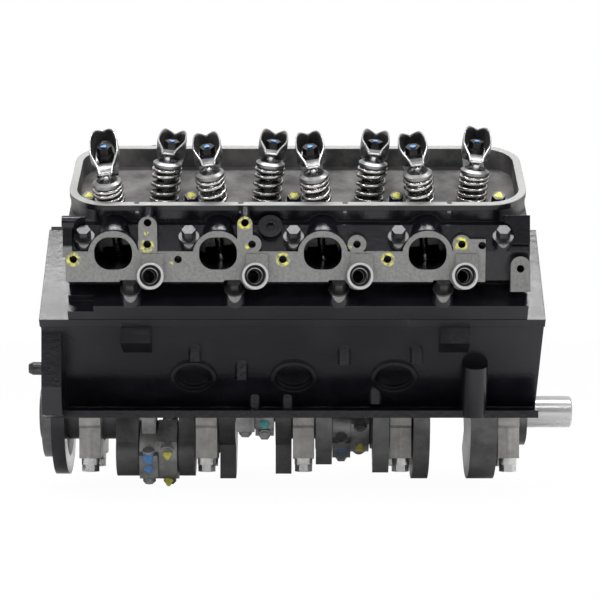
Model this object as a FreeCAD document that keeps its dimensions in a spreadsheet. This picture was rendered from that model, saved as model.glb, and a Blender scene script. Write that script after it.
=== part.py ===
"""Long block of a ninety degree V8 engine: block, crank train, camshaft drive and both dressed heads.

X points to the engine's front, +Z is up, and the origin is the centre of the crankshaft's rear flange face.
The right bank leans to -Y. Everything carried by the left bank is the right bank's casting turned end for end.
Inside a bank, a place is given as x, across (towards the valley) and up (along the bores, from the crank axis).
"""
import FreeCAD, Part
import math
import os
import Sketcher

Vector = FreeCAD.Vector
ROOT2 = math.sqrt(2.0)
ALONG_X = Vector(1, 0, 0)
ALONG_Z = Vector(0, 0, 1)
QUARTER_TURN = 90.0

# Driving dimensions in millimetres and degrees: alias, value, meaning
SIZES = [
    ("bore", 107.95, "cylinder bore"),
    ("bore_spacing", 122.94, "distance between neighbouring bores of a bank, and between mains"),
    ("bank_offset", 24.0, "how far the left bores lie ahead of the right ones"),
    ("deck_height", 248.92, "crank axis to deck, along a bank"),
    ("stroke", 101.6, "piston stroke"),
    ("rod_length", 155.83, "centre to centre of a connecting rod"),
    ("rod_width", 23.5, "width of the big end"),
    ("rod_clearance", 0.4, "radial clearance of the big end, which is the linkage's open pivot"),
    ("rod_journal", 55.88, "crankpin diameter"),
    ("rod_shell", 1.6, "wall of a rod bearing"),
    ("main_journal", 69.85, "main journal diameter"),
    ("main_shell", 2.35, "wall of a main bearing"),
    ("running_fit", 0.05, "radial clearance of shafts in their bearings"),
    ("compression_height", 41.8, "piston pin to crown"),
    ("piston_length", 68.0, "crown to the foot of the skirt"),
    ("piston_clearance", 0.09, "radial clearance of a piston skirt in its bore"),
    ("pin_diameter", 25.15, "piston pin diameter"),
    ("middle_main", 332.5, "middle main bearing, ahead of the flange face"),
    ("front_main", 592.0, "front main bearing, ahead of the flange face"),
    ("rear_main", 62.0, "rear main bearing, ahead of the flange face"),
    ("main_cap_width", 27.0, "length of a main cap along the crank"),
    ("main_cap_drop", 56.0, "main cap bolt boss below the crank axis"),
    ("cap_register", 3.0, "main cap's seat in its notch, above the pan rail"),
    ("main_bolt_spread", 94.0, "distance between a main cap's bolts"),
    ("bell_face", 17.7, "bellhousing face of the block, ahead of the flange face"),
    ("bell_flange", 24.0, "thickness of the bellhousing flange"),
    ("front_face", 620.0, "front face of the block"),
    ("cover_recess", 15.0, "depth of the recess behind the front cover"),
    ("snout_end", 677.7, "front end of the crank snout"),
    ("snout_diameter", 40.6, "crank snout diameter"),
    ("sprocket_seat", 42.0, "crank diameter under its sprocket"),
    ("flange_diameter", 116.0, "crank flange diameter"),
    ("flange_bolt_circle", 90.93, "flywheel bolt circle"),
    ("flange_bolt_hole", 10.0, "flywheel bolt hole in the flange"),
    ("flange_thickness", 14.0, "crank flange thickness"),
    ("register_diameter", 68.0, "flywheel register diameter"),
    ("register_height", 5.0, "flywheel register, behind the flange face"),
    ("cheek_gap", 51.0, "crankpin length between its cheeks"),
    ("counterweight_radius", 86.0, "sweep of the counterweights"),
    ("long_counterweight", 92.0, "sweep of the one long counterweight"),
    ("crankcase_radius", 103.0, "inside radius of the crankcase"),
    ("rail_half_width", 150.0, "crank axis to the edge of the pan rail"),
    ("rail_thickness", 9.0, "pan rail thickness"),
    ("wall_across", -70.0, "side wall of the water jacket, across the bank"),
    ("deck_outer", -78.0, "outer edge of the deck, across the bank"),
    ("deck_inner", 78.0, "inner edge of the deck, across the bank"),
    ("cam_height", 130.86, "crank axis to camshaft axis"),
    ("cam_journal", 49.5, "camshaft journal diameter"),
    ("cam_bearing_wall", 2.6, "wall of a camshaft bearing"),
    ("cam_base_radius", 17.4, "base circle of a cam lobe"),
    ("cam_nose_radius", 7.0, "nose of a cam lobe"),
    ("cam_nose_reach", 17.3, "nose centre from the camshaft axis"),
    ("lobe_width", 16.0, "width of a cam lobe"),
    ("lifter_diameter", 21.4, "lifter diameter"),
    ("lifter_length", 50.0, "lifter length"),
    ("lifter_clearance", 0.9, "gap between a lifter's foot and its lobe"),
    ("lifter_spread", 26.0, "lifter, ahead of or behind its bore"),
    ("pushrod_diameter", 9.5, "pushrod diameter"),
    ("gasket", 1.0, "head gasket thickness"),
    ("head_length", 545.5, "length of a head"),
    ("head_rear", 52.7, "rear end of the right head"),
    ("head_flange", 21.8, "lower flange of a head, above the gasket"),
    ("rail_tilt", 27.5, "valve cover rail, from level"),
    ("cover_width", 175.0, "width of the valve cover rail"),
    ("cover_corner", 48.0, "corner radius of the valve cover rail"),
    ("cover_lip", 7.5, "thickness of the valve cover rail"),
    ("cover_undercut", 7.0, "tray wall behind the edge of the rail"),
    ("cover_rail", 9.0, "width of the rail's sealing face"),
    ("cover_depth", 25.0, "depth of the rocker tray below the rail"),
    ("cover_edge_across", -0.7, "outer edge of the rail, across the bank"),
    ("cover_edge_up", 362.7, "outer edge of the rail, up the bank"),
    ("intake_tilt", 26.0, "intake valve, from the bore axis"),
    ("exhaust_tilt", 17.0, "exhaust valve, from the bore axis"),
    ("valve_cant", 6.0, "lengthwise cant of a valve"),
    ("intake_ahead", 21.0, "intake valve ahead of the bore"),
    ("exhaust_behind", 24.5, "exhaust valve behind the bore"),
    ("intake_across", 14.0, "intake valve, across the bank"),
    ("exhaust_across", -3.0, "exhaust valve, across the bank"),
    ("intake_up", 262.0, "face of the closed intake valve"),
    ("exhaust_up", 261.0, "face of the closed exhaust valve"),
    ("intake_head", 51.8, "intake valve head diameter"),
    ("exhaust_head", 43.0, "exhaust valve head diameter"),
    ("intake_length", 129.0, "intake valve length"),
    ("exhaust_length", 136.0, "exhaust valve length"),
    ("stem_diameter", 9.45, "valve stem diameter"),
    ("spring_height", 46.0, "installed height of a valve spring"),
    ("spring_diameter", 36.6, "outside diameter of a valve spring"),
    ("spring_inside", 27.0, "inside diameter of a valve spring"),
    ("retainer_diameter", 34.5, "valve spring retainer diameter"),
    ("retainer_thickness", 6.0, "valve spring retainer thickness"),
    ("tip_height", 6.0, "valve tip above its retainer"),
    ("rocker_reach", 42.0, "rocker pivot to valve tip"),
    ("rocker_ratio", 1.7, "rocker ratio"),
    ("rocker_width", 35.0, "rocker width at the pivot"),
    ("rocker_tip_width", 17.0, "rocker width at the valve"),
    ("rocker_wall", 2.8, "rocker sheet thickness"),
    ("rocker_drop", 5.0, "rocker pivot below the closed valve's tip"),
    ("rocker_pad", 14.0, "radius of the rocker's pad on the valve"),
    ("rocker_ball", 10.5, "radius of the rocker's pivot ball"),
    ("port_face_tilt", 12.0, "exhaust flange face, leaning out from upright"),
    ("port_face_out", 258.0, "foot of the exhaust flange face, from the crank axis"),
    ("port_face_foot", 165.6, "foot of the exhaust flange face, above the crank axis"),
    ("port_behind", 27.2, "exhaust port behind its bore"),
    ("port_width", 44.5, "exhaust port width"),
    ("port_height", 38.5, "exhaust port height"),
    ("port_arch", 30.0, "radius of the flange round an exhaust port"),
    ("port_strip", 36.5, "height of the low stretches of the exhaust flange"),
    ("flange_column", 77.8, "height of the flange's bolt columns"),
    ("flange_hole", 9.0, "manifold bolt hole"),
    ("port_depth", 75.0, "exhaust port, from its face to the bowl"),
    ("port_rise", 34.0, "exhaust port centre above the foot of the flange face"),
    ("plug_out", 12.0, "how far a plug boss stands out of the flange face"),
    ("plug_ahead", 16.7, "spark plug seat ahead of its bore"),
    ("plug_seat", 31.4, "spark plug boss diameter"),
    ("plug_hole", 14.0, "spark plug thread diameter"),
    ("bolt_hex", 14.5, "width across the flats of a head bolt"),
    ("bolt_shank", 11.1, "head bolt shank diameter"),
    ("core_plug", 47.0, "core plug diameter"),
    ("plug_rim", 57.0, "raised rim round a core plug"),
    ("sprocket_pitch", 9.525, "timing chain pitch"),
    ("crank_teeth", 24.0, "teeth on the crank sprocket"),
    ("sprocket_width", 12.0, "width of the timing sprockets"),
    ("sprocket_front", 618.0, "front of the timing sprockets"),
    ("crank_angle", 335.0, "crank angle past firing of the first cylinder"),
    ("crank_swing", 8.0, "modelled swing of the crank, each way"),
]
FIRING = {1: 0, 8: 90, 4: 180, 3: 270, 6: 360, 5: 450, 7: 540, 2: 630}
EXHAUST_PEAK = 248.0
INTAKE_PEAK = 470.0

doc = FreeCAD.newDocument("LongBlock")
sheet = doc.addObject("Spreadsheet::Sheet", "Sizes")
for row, (alias, number, meaning) in enumerate(SIZES, start=1):
    sheet.set("A%d" % row, meaning)
    sheet.set("B%d" % row, str(number))
    sheet.setAlias("B%d" % row, alias)
doc.recompute()


class SheetReader:
    """Reads a driving dimension from the sheet by its alias."""

    def __getattr__(self, alias):
        return float(getattr(sheet, alias))


S = SheetReader()
subparts = []


# Placement and shape helpers
def bank_point(x, across, up):
    """A place in the right bank's own directions, in the engine frame."""
    return Vector(x, (across - up) / ROOT2, (across + up) / ROOT2)


def bank_prism(corners, start, length):
    """A prism along X from corners given across and up the right bank."""
    points = [bank_point(start, across, up) for across, up in corners]
    face = Part.Face(Part.makePolygon(points + points[:1]))
    return face.extrude(Vector(length, 0, 0))


def section_prism(corners, start, length):
    """A prism along X from corners given in Y and Z."""
    points = [Vector(start, y, z) for y, z in corners]
    face = Part.Face(Part.makePolygon(points + points[:1]))
    return face.extrude(Vector(length, 0, 0))


def mirrored_section(corners):
    """A section given on the left side, closed with its own mirror image."""
    return corners + [(-y, z) for y, z in reversed(corners)]


def rod(radius, start, end):
    """A round bar between two points."""
    return Part.makeCylinder(radius, (end - start).Length, start, end - start)


def x_rod(radius, start, length, y=0.0, z=0.0):
    """A round bar along X."""
    return Part.makeCylinder(radius, length, Vector(start, y, z), ALONG_X)


def ring(outer, inner, start, end):
    """A sleeve between two points."""
    return rod(outer, start, end).cut(rod(inner, start, end))


def hexagon(flats, start, direction, height):
    """A hexagonal head standing on a point."""
    reach = flats / math.sqrt(3.0)
    corners = [
        Vector(reach * math.cos(math.radians(60 * k)), reach * math.sin(math.radians(60 * k)), 0)
        for k in range(6)
    ]
    head = Part.Face(Part.makePolygon(corners + corners[:1])).extrude(Vector(0, 0, height))
    head.Placement = FreeCAD.Placement(start, FreeCAD.Rotation(ALONG_Z, direction))
    return head


def fused(shapes):
    """One solid from overlapping ones."""
    first = shapes[0]
    return first.multiFuse(shapes[1:]).removeSplitter() if len(shapes) > 1 else first


def turned_to_left(shape):
    """The right bank's piece turned end for end, as the left bank carries it."""
    copy = shape.copy()
    copy.rotate(Vector(S.middle_main, 0, 0), ALONG_Z, 180)
    return copy


def both_banks(shapes):
    """Pieces of the right bank with their left twins."""
    return shapes + [turned_to_left(shape) for shape in shapes]


def seated(shape, origin, axis, turn=0.0):
    """A copy of a piece made along Z, stood on a point along an axis."""
    copy = shape.copy()
    spin = FreeCAD.Rotation(ALONG_Z, axis).multiply(FreeCAD.Rotation(ALONG_Z, turn))
    copy.Placement = FreeCAD.Placement(origin, spin)
    return copy


def framed(shape, origin, x_direction, z_direction):
    """A copy of a piece with its own X and Z laid along two square directions."""
    y_direction = z_direction.cross(x_direction)
    matrix = FreeCAD.Matrix(
        x_direction.x, y_direction.x, z_direction.x, origin.x,
        x_direction.y, y_direction.y, z_direction.y, origin.y,
        x_direction.z, y_direction.z, z_direction.z, origin.z,
        0, 0, 0, 1,
    )
    copy = shape.copy()
    copy.Placement = FreeCAD.Placement(matrix)
    return copy


# Document helpers
def add_feature(label, shapes):
    """A sub-part whose solids are worked out in code."""
    feature = doc.addObject("Part::Feature", label)
    feature.Label = label
    feature.Shape = shapes[0] if len(shapes) == 1 else Part.makeCompound(shapes)
    subparts.append(feature)
    return feature


def origin_plane(body, role):
    """One of a body's own origin planes."""
    return next(item for item in body.Origin.OriginFeatures if item.Role == role)


def worth(expression):
    """The number that an expression of the sheet gives, with # before each alias."""
    return float(sheet.evalExpression(expression.replace("#", "")))


def held_at(sketch, corner, kind, expression):
    """Ties one coordinate of a line's start to an expression of the sheet."""
    number = worth(expression)
    if abs(number) < 1e-9:
        sketch.addConstraint(Sketcher.Constraint("PointOnObject", corner, 1, -2 if kind == "X" else -1))
        return
    index = sketch.addConstraint(Sketcher.Constraint("Distance" + kind, -1, 1, corner, 1, number))
    sketch.setExpression("Constraints[%d]" % index, expression.replace("#", "Sizes."))


def turned_body(label, corners):
    """A turned blank: an outline of radius and height, revolved about Z, each corner held by the sheet."""
    body = doc.addObject("PartDesign::Body", label)
    sketch = body.newObject("Sketcher::SketchObject", label + "_outline")
    sketch.AttachmentSupport = [(origin_plane(body, "XZ_Plane"), "")]
    sketch.MapMode = "FlatFace"
    points = [Vector(worth(radius), worth(height), 0) for radius, height in corners]
    count = len(points)
    for k in range(count):
        sketch.addGeometry(Part.LineSegment(points[k], points[(k + 1) % count]), False)
    for k in range(count):
        sketch.addConstraint(Sketcher.Constraint("Coincident", k, 2, (k + 1) % count, 1))
        held_at(sketch, k, "X", corners[k][0])
        held_at(sketch, k, "Y", corners[k][1])
    turning = body.newObject("PartDesign::Revolution", label + "_turned")
    turning.Profile = sketch
    turning.ReferenceAxis = (sketch, ["V_Axis"])
    turning.Angle = 360.0
    doc.recompute()
    return body.Shape.Solids[0]


# Stations along the crank
MAINS = [S.rear_main, S.middle_main - S.bore_spacing, S.middle_main, S.middle_main + S.bore_spacing, S.front_main]
PIN_OF = {8: 0, 7: 0, 6: 1, 5: 1, 4: 2, 3: 2, 2: 3, 1: 3}
PINS = [S.middle_main + (k - 1.5) * S.bore_spacing for k in range(4)]
CYLINDERS = range(1, 9)
RIGHT = (2, 4, 6, 8)
HALF_STROKE = S.stroke / 2


def is_right(cylinder):
    return cylinder in RIGHT


def bore_x(cylinder):
    """Where a bore lies along the crank."""
    side = -1 if is_right(cylinder) else 1
    return PINS[PIN_OF[cylinder]] + side * S.bank_offset / 2


def right_bores():
    return sorted(bore_x(cylinder) for cylinder in RIGHT)


# Crank geometry
def phase(cylinder):
    """Crank degrees since the cylinder fired."""
    return (S.crank_angle - FIRING[cylinder]) % 720


def pin_clock(pin):
    """Angle of a crankpin, clockwise from up as seen from the front."""
    cylinder = next(c for c in CYLINDERS if PIN_OF[c] == pin)
    lean = -45.0 if is_right(cylinder) else 45.0
    return (lean + phase(cylinder)) % 360


def slider(delta):
    """Pin to crank distance along the bank and rod angle, at a crank angle past top centre."""
    sine = HALF_STROKE * math.sin(delta) / S.rod_length
    along = HALF_STROKE * math.cos(delta) + S.rod_length * math.sqrt(1 - sine * sine)
    return along, math.asin(sine)


def rest_pose(cylinder):
    """Piston pin height and rod angle, set midway so that the open pivot errs equally both ways."""
    here = math.radians(phase(cylinder))
    swing = math.radians(S.crank_swing)
    middle, low, high = (slider(here + step * swing) for step in (0, -1, 1))
    return [0.5 * middle[k] + 0.25 * (low[k] + high[k]) for k in range(2)]


# The block casting
RETAINER_RADIUS = 80.0
RETAINER_REAR = 14.6
RETAINER_FRONT = 31.6
THRUST_PLATE = 2.6
THRUST_RADIUS = 36.0
CAM_NOSE = 24.0
CAM_BOLT_CIRCLE = 15.0
CORE_PLUG_UP = 141.0


def cam_axis_rod(radius, start, length):
    return x_rod(radius, start, length, 0.0, S.cam_height)


def lifter_axis(x):
    """Foot and direction of a right lifter, which points at the camshaft."""
    across = S.cam_height / ROOT2
    return bank_point(x, across, across), bank_point(0, 0, 1)


LIFTER_TOP = 152.0
LIFTER_ACROSS = S.cam_height / ROOT2


def block_body():
    """The casting's outside before anything is bored."""
    deck_lip = 12.0
    lifter_ledge = LIFTER_ACROSS + 15.0
    bank = [
        (S.wall_across, 86.0),
        (S.wall_across, S.deck_height - deck_lip),
        (S.deck_outer, S.deck_height - deck_lip),
        (S.deck_outer, S.deck_height),
        (S.deck_inner, S.deck_height),
        (S.deck_inner, LIFTER_TOP),
        (lifter_ledge, LIFTER_TOP),
    ]
    wall = [((up - across) / ROOT2, (across + up) / ROOT2) for across, up in bank]
    rail = [(S.rail_half_width, 0.0), (S.rail_half_width, S.rail_thickness)]
    outline = mirrored_section(rail + wall)
    start = S.bell_face
    return section_prism(outline, start, S.front_face - start)


def bell_flange():
    """The plate that the bellhousing bolts to."""
    outline = [(150, 0), (197, 6), (207, 40), (207, 122), (150, 196), (98, 236)]
    return section_prism(mirrored_section(outline), S.bell_face, S.bell_flange)


def valley_walls():
    """Front and rear walls that the intake manifold seals on."""
    outline = mirrored_section([(112, 150), (112, 212)])
    return [section_prism(outline, S.bell_face, 20.0), section_prism(outline, S.front_face - 22.0, 22.0)]


def side_bosses():
    """Mount pads, upright drilled bosses and core plug rims on the right side wall."""
    shapes = []
    lip = S.deck_height - 12.0
    pad = [(S.wall_across + 5, lip), (S.wall_across - 6, lip), (-94.0, 225.6), (S.wall_across + 5, 176.0)]
    for middle in (S.middle_main - 201.0, S.middle_main + 181.0):
        shapes.append(bank_prism(pad, middle - 17.5, 35.0))
    bosses = [
        (200.6, 70.0, 95.0), (256.6, 47.0, 80.0), (272.0, 8.0, 32.0), (312.5, 4.0, 36.0),
        (381.6, 66.0, 96.0), (421.0, 16.0, 42.0), (469.0, 68.0, 99.0),
    ]
    for x, low, high in bosses:
        y = -(low + high) / 2 - ROOT2 * abs(S.wall_across)
        shapes.append(rod(8.0, Vector(x, y, low), Vector(x, y, high + 8)))
    for start, end in core_plug_axes():
        inward = (end - start).normalize()
        face = start + inward * 2.0
        shapes.append(rod(S.plug_rim / 2, face, face + inward * 20))
    return shapes


def fuel_pump_boss():
    """Upright round boss beside the front main bearing."""
    return rod(16.0, Vector(541.0, -140.0, 2.0), Vector(541.0, -166.0, 66.0))


def engine_block():
    left_bosses = [turned_to_left(shape) for shape in side_bosses()]
    shape = fused([block_body(), bell_flange()] + valley_walls() + side_bosses() + left_bosses + [fuel_pump_boss()])
    cuts = []
    for x in right_bores():
        bore = rod(S.bore / 2, bank_point(x, 0, 70.0), bank_point(x, 0, S.deck_height + 2))
        cuts += [bore, turned_to_left(bore)]
    edges = [S.rear_main + 25.0] + [m + side * 14.0 for m in MAINS[1:4] for side in (-1, 1)] + [S.front_main - 14.0]
    for k in range(4):
        cuts.append(x_rod(S.crankcase_radius, edges[2 * k], edges[2 * k + 1] - edges[2 * k]))
    housing = S.main_journal / 2 + S.main_shell
    cuts.append(x_rod(housing, S.bell_face - 1, S.front_face))
    cuts.append(x_rod(RETAINER_RADIUS + 0.3, S.bell_face - 1, RETAINER_FRONT + 0.1 - S.bell_face + 1))
    tunnel = S.cam_journal / 2 + S.running_fit + S.cam_bearing_wall
    cuts.append(cam_axis_rod(tunnel, S.rear_main - 12, S.front_face))
    recess_start = S.front_face - S.cover_recess
    cuts.append(cam_axis_rod(THRUST_RADIUS + 0.1, recess_start - THRUST_PLATE - 0.1, 30.0))
    cuts.append(x_rod(58.0, recess_start, 30.0))
    cuts.append(cam_axis_rod(90.0, recess_start, 30.0))
    cuts.append(Part.makeBox(30, 150, S.cam_height, Vector(recess_start, -75, 0)))
    for x in lifter_stations():
        foot, direction = lifter_axis(x)
        hole = rod(S.lifter_diameter / 2 + S.running_fit, foot, foot + direction * 90)
        cuts += [hole, turned_to_left(hole)]
    for k, (x, across, _) in enumerate(head_bolt_places()):
        foot = bank_point(x, across, S.deck_height - bolt_depth(k) - 0.5)
        hole = rod(S.bolt_shank / 2 + 0.1, foot, bank_point(x, across, 300))
        cuts += [hole, turned_to_left(hole)]
    for start, end in core_plug_axes():
        cuts += [rod(S.core_plug / 2, start, end), turned_to_left(rod(S.core_plug / 2, start, end))]
    notch = S.main_bolt_spread + 34.3
    for middle in MAINS:
        start = Vector(middle - S.main_cap_width / 2 - 0.5, -notch / 2, -1)
        cuts.append(Part.makeBox(S.main_cap_width + 1.0, notch, S.cap_register + 1, start))
        for side in (-1, 1):
            y = side * S.main_bolt_spread / 2
            cuts.append(rod(6.45, Vector(middle, y, -1), Vector(middle, y, 58)))
    for y, z in bell_dowels():
        cuts.append(x_rod(7.95, S.bell_face - 1, 16, y, z))
    for y, z in bell_bolts():
        cuts.append(x_rod(5.0, S.bell_face - 1, 60, y, z))
    below = Part.makeBox(800, 600, 200, Vector(-20, -300, -200))
    cuts.append(below)
    return shape.cut(Part.makeCompound(cuts))


def lifter_stations():
    """Lifters of the right bank, from the rear: exhaust then intake of each cylinder."""
    return [x + side * S.lifter_spread for x in right_bores() for side in (-1, 1)]


def bell_dowels():
    return [(-181.4, 61.5), (181.4, 61.5)]


def bell_bolts():
    return [(-180.0, 20.0), (180.0, 20.0), (-180.0, 112.0), (180.0, 112.0), (-66.0, 215.0), (66.0, 215.0)]


def core_plug_axes():
    """Seats of the right side wall's core plugs, square to the wall."""
    axes = []
    for x in right_bores()[:3]:
        place = x + S.bore_spacing / 2
        outer, inner = S.wall_across - 5.0, S.wall_across + 30.0
        axes.append((bank_point(place, outer, CORE_PLUG_UP), bank_point(place, inner, CORE_PLUG_UP)))
    return axes


def core_plugs():
    """Pressed cups in the side walls."""
    shapes = []
    for start, end in core_plug_axes():
        out = (end - start).normalize()
        rim = start + out * 6.5
        cup = rod(S.core_plug / 2 - 0.03, rim, rim + out * 8.0)
        hollow = rod(S.core_plug / 2 - 2.5, rim - out * 1.0, rim + out * 6.0)
        shapes.append(cup.cut(hollow))
    return both_banks(shapes)


# Mains
def seal_radius():
    return 56.0


def main_caps():
    """Five caps with round bolt bosses, split from the block at the crank axis."""
    shapes = []
    housing = S.main_journal / 2 + S.main_shell
    spread = S.main_bolt_spread / 2
    for middle in MAINS:
        start = middle - S.main_cap_width / 2
        outline = [
            (spread + 17, S.cap_register), (spread + 17, -14.0), (spread + 12, -18.0), (spread + 12, -S.main_cap_drop),
            (spread - 12, -S.main_cap_drop), (spread - 16, -S.main_cap_drop + 4), (14.0, -S.main_cap_drop - 4),
        ]
        cap = section_prism(mirrored_section(outline), start, S.main_cap_width)
        for side in (-1, 1):
            boss = Vector(middle, side * spread, -S.main_cap_drop)
            cap = cap.fuse(rod(12.5, boss, boss + Vector(0, 0, 45)))
        cap = cap.cut(x_rod(housing, start - 5, S.main_cap_width + 10))
        for side in (-1, 1):
            place = Vector(middle, side * spread, -80)
            cap = cap.cut(rod(6.55, place, place + Vector(0, 0, 90)))
        shapes.append(cap.removeSplitter())
    return shapes


def main_bolts():
    """Ten cap bolts with washer faces."""
    shapes = []
    for middle in MAINS:
        for side in (-1, 1):
            seat = Vector(middle, side * S.main_bolt_spread / 2, -S.main_cap_drop)
            head = hexagon(19.0, seat - Vector(0, 0, 8.5), Vector(0, 0, -1), 9.0)
            washer = rod(11.5, seat, seat - Vector(0, 0, 8.5))
            shank = rod(6.35, seat, seat + Vector(0, 0, S.main_cap_drop + 50))
            shapes.append(fused([shank, washer, head]))
    return shapes


def main_shells():
    """Upper and lower bearing halves at each main journal."""
    outer = S.main_journal / 2 + S.main_shell - 0.02
    inner = S.main_journal / 2 + S.running_fit
    upper = Part.makeBox(60, 200, 100, Vector(-30, -100, 0.01))
    lower = Part.makeBox(60, 200, 100, Vector(-30, -100, -100.01))
    shapes = []
    for middle in MAINS:
        sleeve = x_rod(outer, -12.0, 24.0).cut(x_rod(inner, -13.0, 26.0))
        for half in (upper, lower):
            shell = sleeve.common(half)
            shell.translate(Vector(middle, 0, 0))
            shapes.append(shell)
    return shapes


# Crankshaft
def clock_point(x, clock, radius):
    """A point at an angle clockwise from up, seen from the front."""
    angle = math.radians(clock)
    return Vector(x, radius * math.sin(angle), radius * math.cos(angle))


def crank_cheek(start, length, pin, weight_radius, weight_half):
    """One cheek: a web from journal to pin with its counterweight opposite."""
    clock = pin_clock(pin)
    near = Vector(start, 0, 0)
    far = clock_point(start, clock, HALF_STROKE)
    along = (far - near).normalize()
    across = along.cross(ALONG_X)
    web_half, pin_half = 43.0, 33.5
    corners = [near + across * web_half, far + across * pin_half, far - across * pin_half, near - across * web_half]
    face = Part.Face(Part.makePolygon(corners + corners[:1]))
    shapes = [face.extrude(Vector(length, 0, 0))]
    shapes.append(Part.makeCylinder(web_half, length, near, ALONG_X))
    shapes.append(Part.makeCylinder(pin_half, length, far, ALONG_X))
    wedge = Part.makeCylinder(weight_radius, length, Vector(0, 0, 0), ALONG_Z, 2 * weight_half)
    middle = FreeCAD.Rotation(ALONG_Z, -weight_half)
    turn = FreeCAD.Rotation(Vector(0, 0, 1), Vector(1, 0, 0))
    wedge.Placement = FreeCAD.Placement(Vector(0, 0, 0), middle)
    wedge = seated_on_x(wedge, start, clock + 180, turn)
    shapes.append(wedge)
    return fused(shapes)


def seated_on_x(shape, x, clock, turn):
    """Lays a sector drawn about Z along X, its middle at a clock angle."""
    copy = Part.makeCompound([shape])
    copy.Placement = FreeCAD.Placement(Vector(0, 0, 0), turn)
    middle = copy.CenterOfGravity
    present = math.degrees(math.atan2(middle.y, middle.z))
    copy.rotate(Vector(0, 0, 0), Vector(-1, 0, 0), clock - present)
    copy.translate(Vector(x, 0, 0))
    return copy.Solids[0]


def crankshaft():
    """Forged crank with four pins, eight cheeks, rear flange and front snout."""
    half_gap = S.cheek_gap / 2
    web = (S.bore_spacing - S.cheek_gap - 31.0) / 2
    rear_cheek, front_cheek = 28.5, 33.6
    full, small = S.counterweight_radius, 80.0
    shapes = []
    weights = {0: (full, full), 1: (full, small), 2: (small, S.long_counterweight), 3: (full, full)}
    for pin, middle in enumerate(PINS):
        rear_length = rear_cheek if pin == 0 else web
        front_length = front_cheek if pin == 3 else web
        rear_weight, front_weight = weights[pin]
        shapes.append(crank_cheek(middle - half_gap - rear_length, rear_length, pin, rear_weight, 74.0))
        shapes.append(crank_cheek(middle + half_gap, front_length, pin, front_weight, 74.0))
        centre = clock_point(middle - half_gap - 1, pin_clock(pin), HALF_STROKE)
        shapes.append(Part.makeCylinder(S.rod_journal / 2, S.cheek_gap + 2, centre, ALONG_X))
    rear_end = PINS[0] - half_gap - rear_cheek
    front_start = PINS[3] + half_gap + front_cheek
    shapes.append(x_rod(S.main_journal / 2, 20.0, rear_end - 19.0))
    for k in range(3):
        begin = PINS[k] + half_gap + web - 1
        shapes.append(x_rod(S.main_journal / 2, begin, PINS[k + 1] - half_gap - web - begin + 1))
    shapes.append(x_rod(S.main_journal / 2, front_start - 1, S.front_main + 14 - front_start))
    shapes.append(x_rod(S.sprocket_seat / 2, S.front_main, S.sprocket_front - S.front_main))
    shapes.append(x_rod(S.snout_diameter / 2, S.front_main, S.snout_end - S.front_main - 2.0))
    tip = Part.makeCone(S.snout_diameter / 2, S.snout_diameter / 2 - 2, 2, Vector(S.snout_end - 2, 0, 0), ALONG_X)
    shapes.append(tip)
    shapes.append(x_rod(S.flange_diameter / 2, 0, S.flange_thickness))
    shapes.append(x_rod(seal_radius(), S.flange_thickness - 1, RETAINER_FRONT - S.flange_thickness + 1))
    shapes.append(x_rod(S.register_diameter / 2, -S.register_height, S.register_height + 1))
    shape = fused(shapes)
    for k in range(6):
        place = clock_point(-10, 60 * k + 30, S.flange_bolt_circle / 2)
        shape = shape.cut(Part.makeCylinder(S.flange_bolt_hole / 2, 23.5, place, ALONG_X))
    shape = shape.cut(x_rod(14.0, -S.register_height - 1, 30.0))
    shape = shape.cut(x_rod(6.0, S.snout_end - 45, 46.0))
    keyway = Part.makeBox(60, 4.8, 5.0, Vector(S.snout_end - 68, -2.4, S.snout_diameter / 2 - 3.0))
    return shape.cut(keyway)


def rear_seal():
    """Seal retainer behind the rear main bearing."""
    plate = x_rod(RETAINER_RADIUS, RETAINER_REAR, RETAINER_FRONT - RETAINER_REAR)
    return plate.cut(x_rod(seal_radius() + 0.3, 0, 40))


# Pistons and rods
def piston_master():
    """A piston stood on its pin axis at the origin, crown up."""
    crown = S.compression_height
    reach = S.bore / 2 - S.piston_clearance
    foot = crown - S.piston_length
    body = Part.makeCylinder(reach, S.piston_length, Vector(0, 0, foot), ALONG_Z)
    inside = Part.makeCylinder(reach - 6.5, S.piston_length - 9.0, Vector(0, 0, foot - 1), ALONG_Z)
    boss = Part.makeBox(73, 34, crown + 12, Vector(-36.5, -17, -16))
    opening = Part.makeBox(26, 60, 60, Vector(-13, -30, foot - 8))
    shape = body.cut(inside).fuse(boss.common(body)).cut(opening)
    for depth in (8.0, 15.5, 23.0):
        groove = Part.makeCylinder(reach + 1, 2.6, Vector(0, 0, crown - depth - 2.6), ALONG_Z)
        shape = shape.cut(groove.cut(Part.makeCylinder(reach - 4.2, 2.6, Vector(0, 0, crown - depth - 2.6), ALONG_Z)))
    for inner, top in ((36.8, 15.0), (12.5, -17.5)):
        side_cut = Part.makeBox(60, 120, 60, Vector(inner, -60, top - 60))
        shape = shape.cut(side_cut).cut(side_cut.mirror(Vector(0, 0, 0), ALONG_X))
    pin_hole = rod(S.pin_diameter / 2 + 0.02, Vector(-60, 0, 0), Vector(60, 0, 0))
    return shape.cut(pin_hole).Solids


def piston_pieces():
    """The piston, its three rings and its pin."""
    crown = S.compression_height
    reach = S.bore / 2
    pieces = piston_master()
    for depth in (8.0, 15.5, 23.0):
        base = Vector(0, 0, crown - depth - 2.5)
        outer = Part.makeCylinder(reach - 0.02, 2.4, base, ALONG_Z)
        inner = Part.makeCylinder(reach - 3.9, 2.4, base, ALONG_Z)
        gap = Part.makeBox(10, 0.6, 5, base + Vector(reach - 8, -0.3, -1))
        pieces.append(outer.cut(inner).cut(gap))
    pin = rod(S.pin_diameter / 2, Vector(-36.5, 0, 0), Vector(36.5, 0, 0))
    pieces.append(pin.cut(rod(7.5, Vector(-38, 0, 0), Vector(38, 0, 0))))
    return pieces


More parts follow.
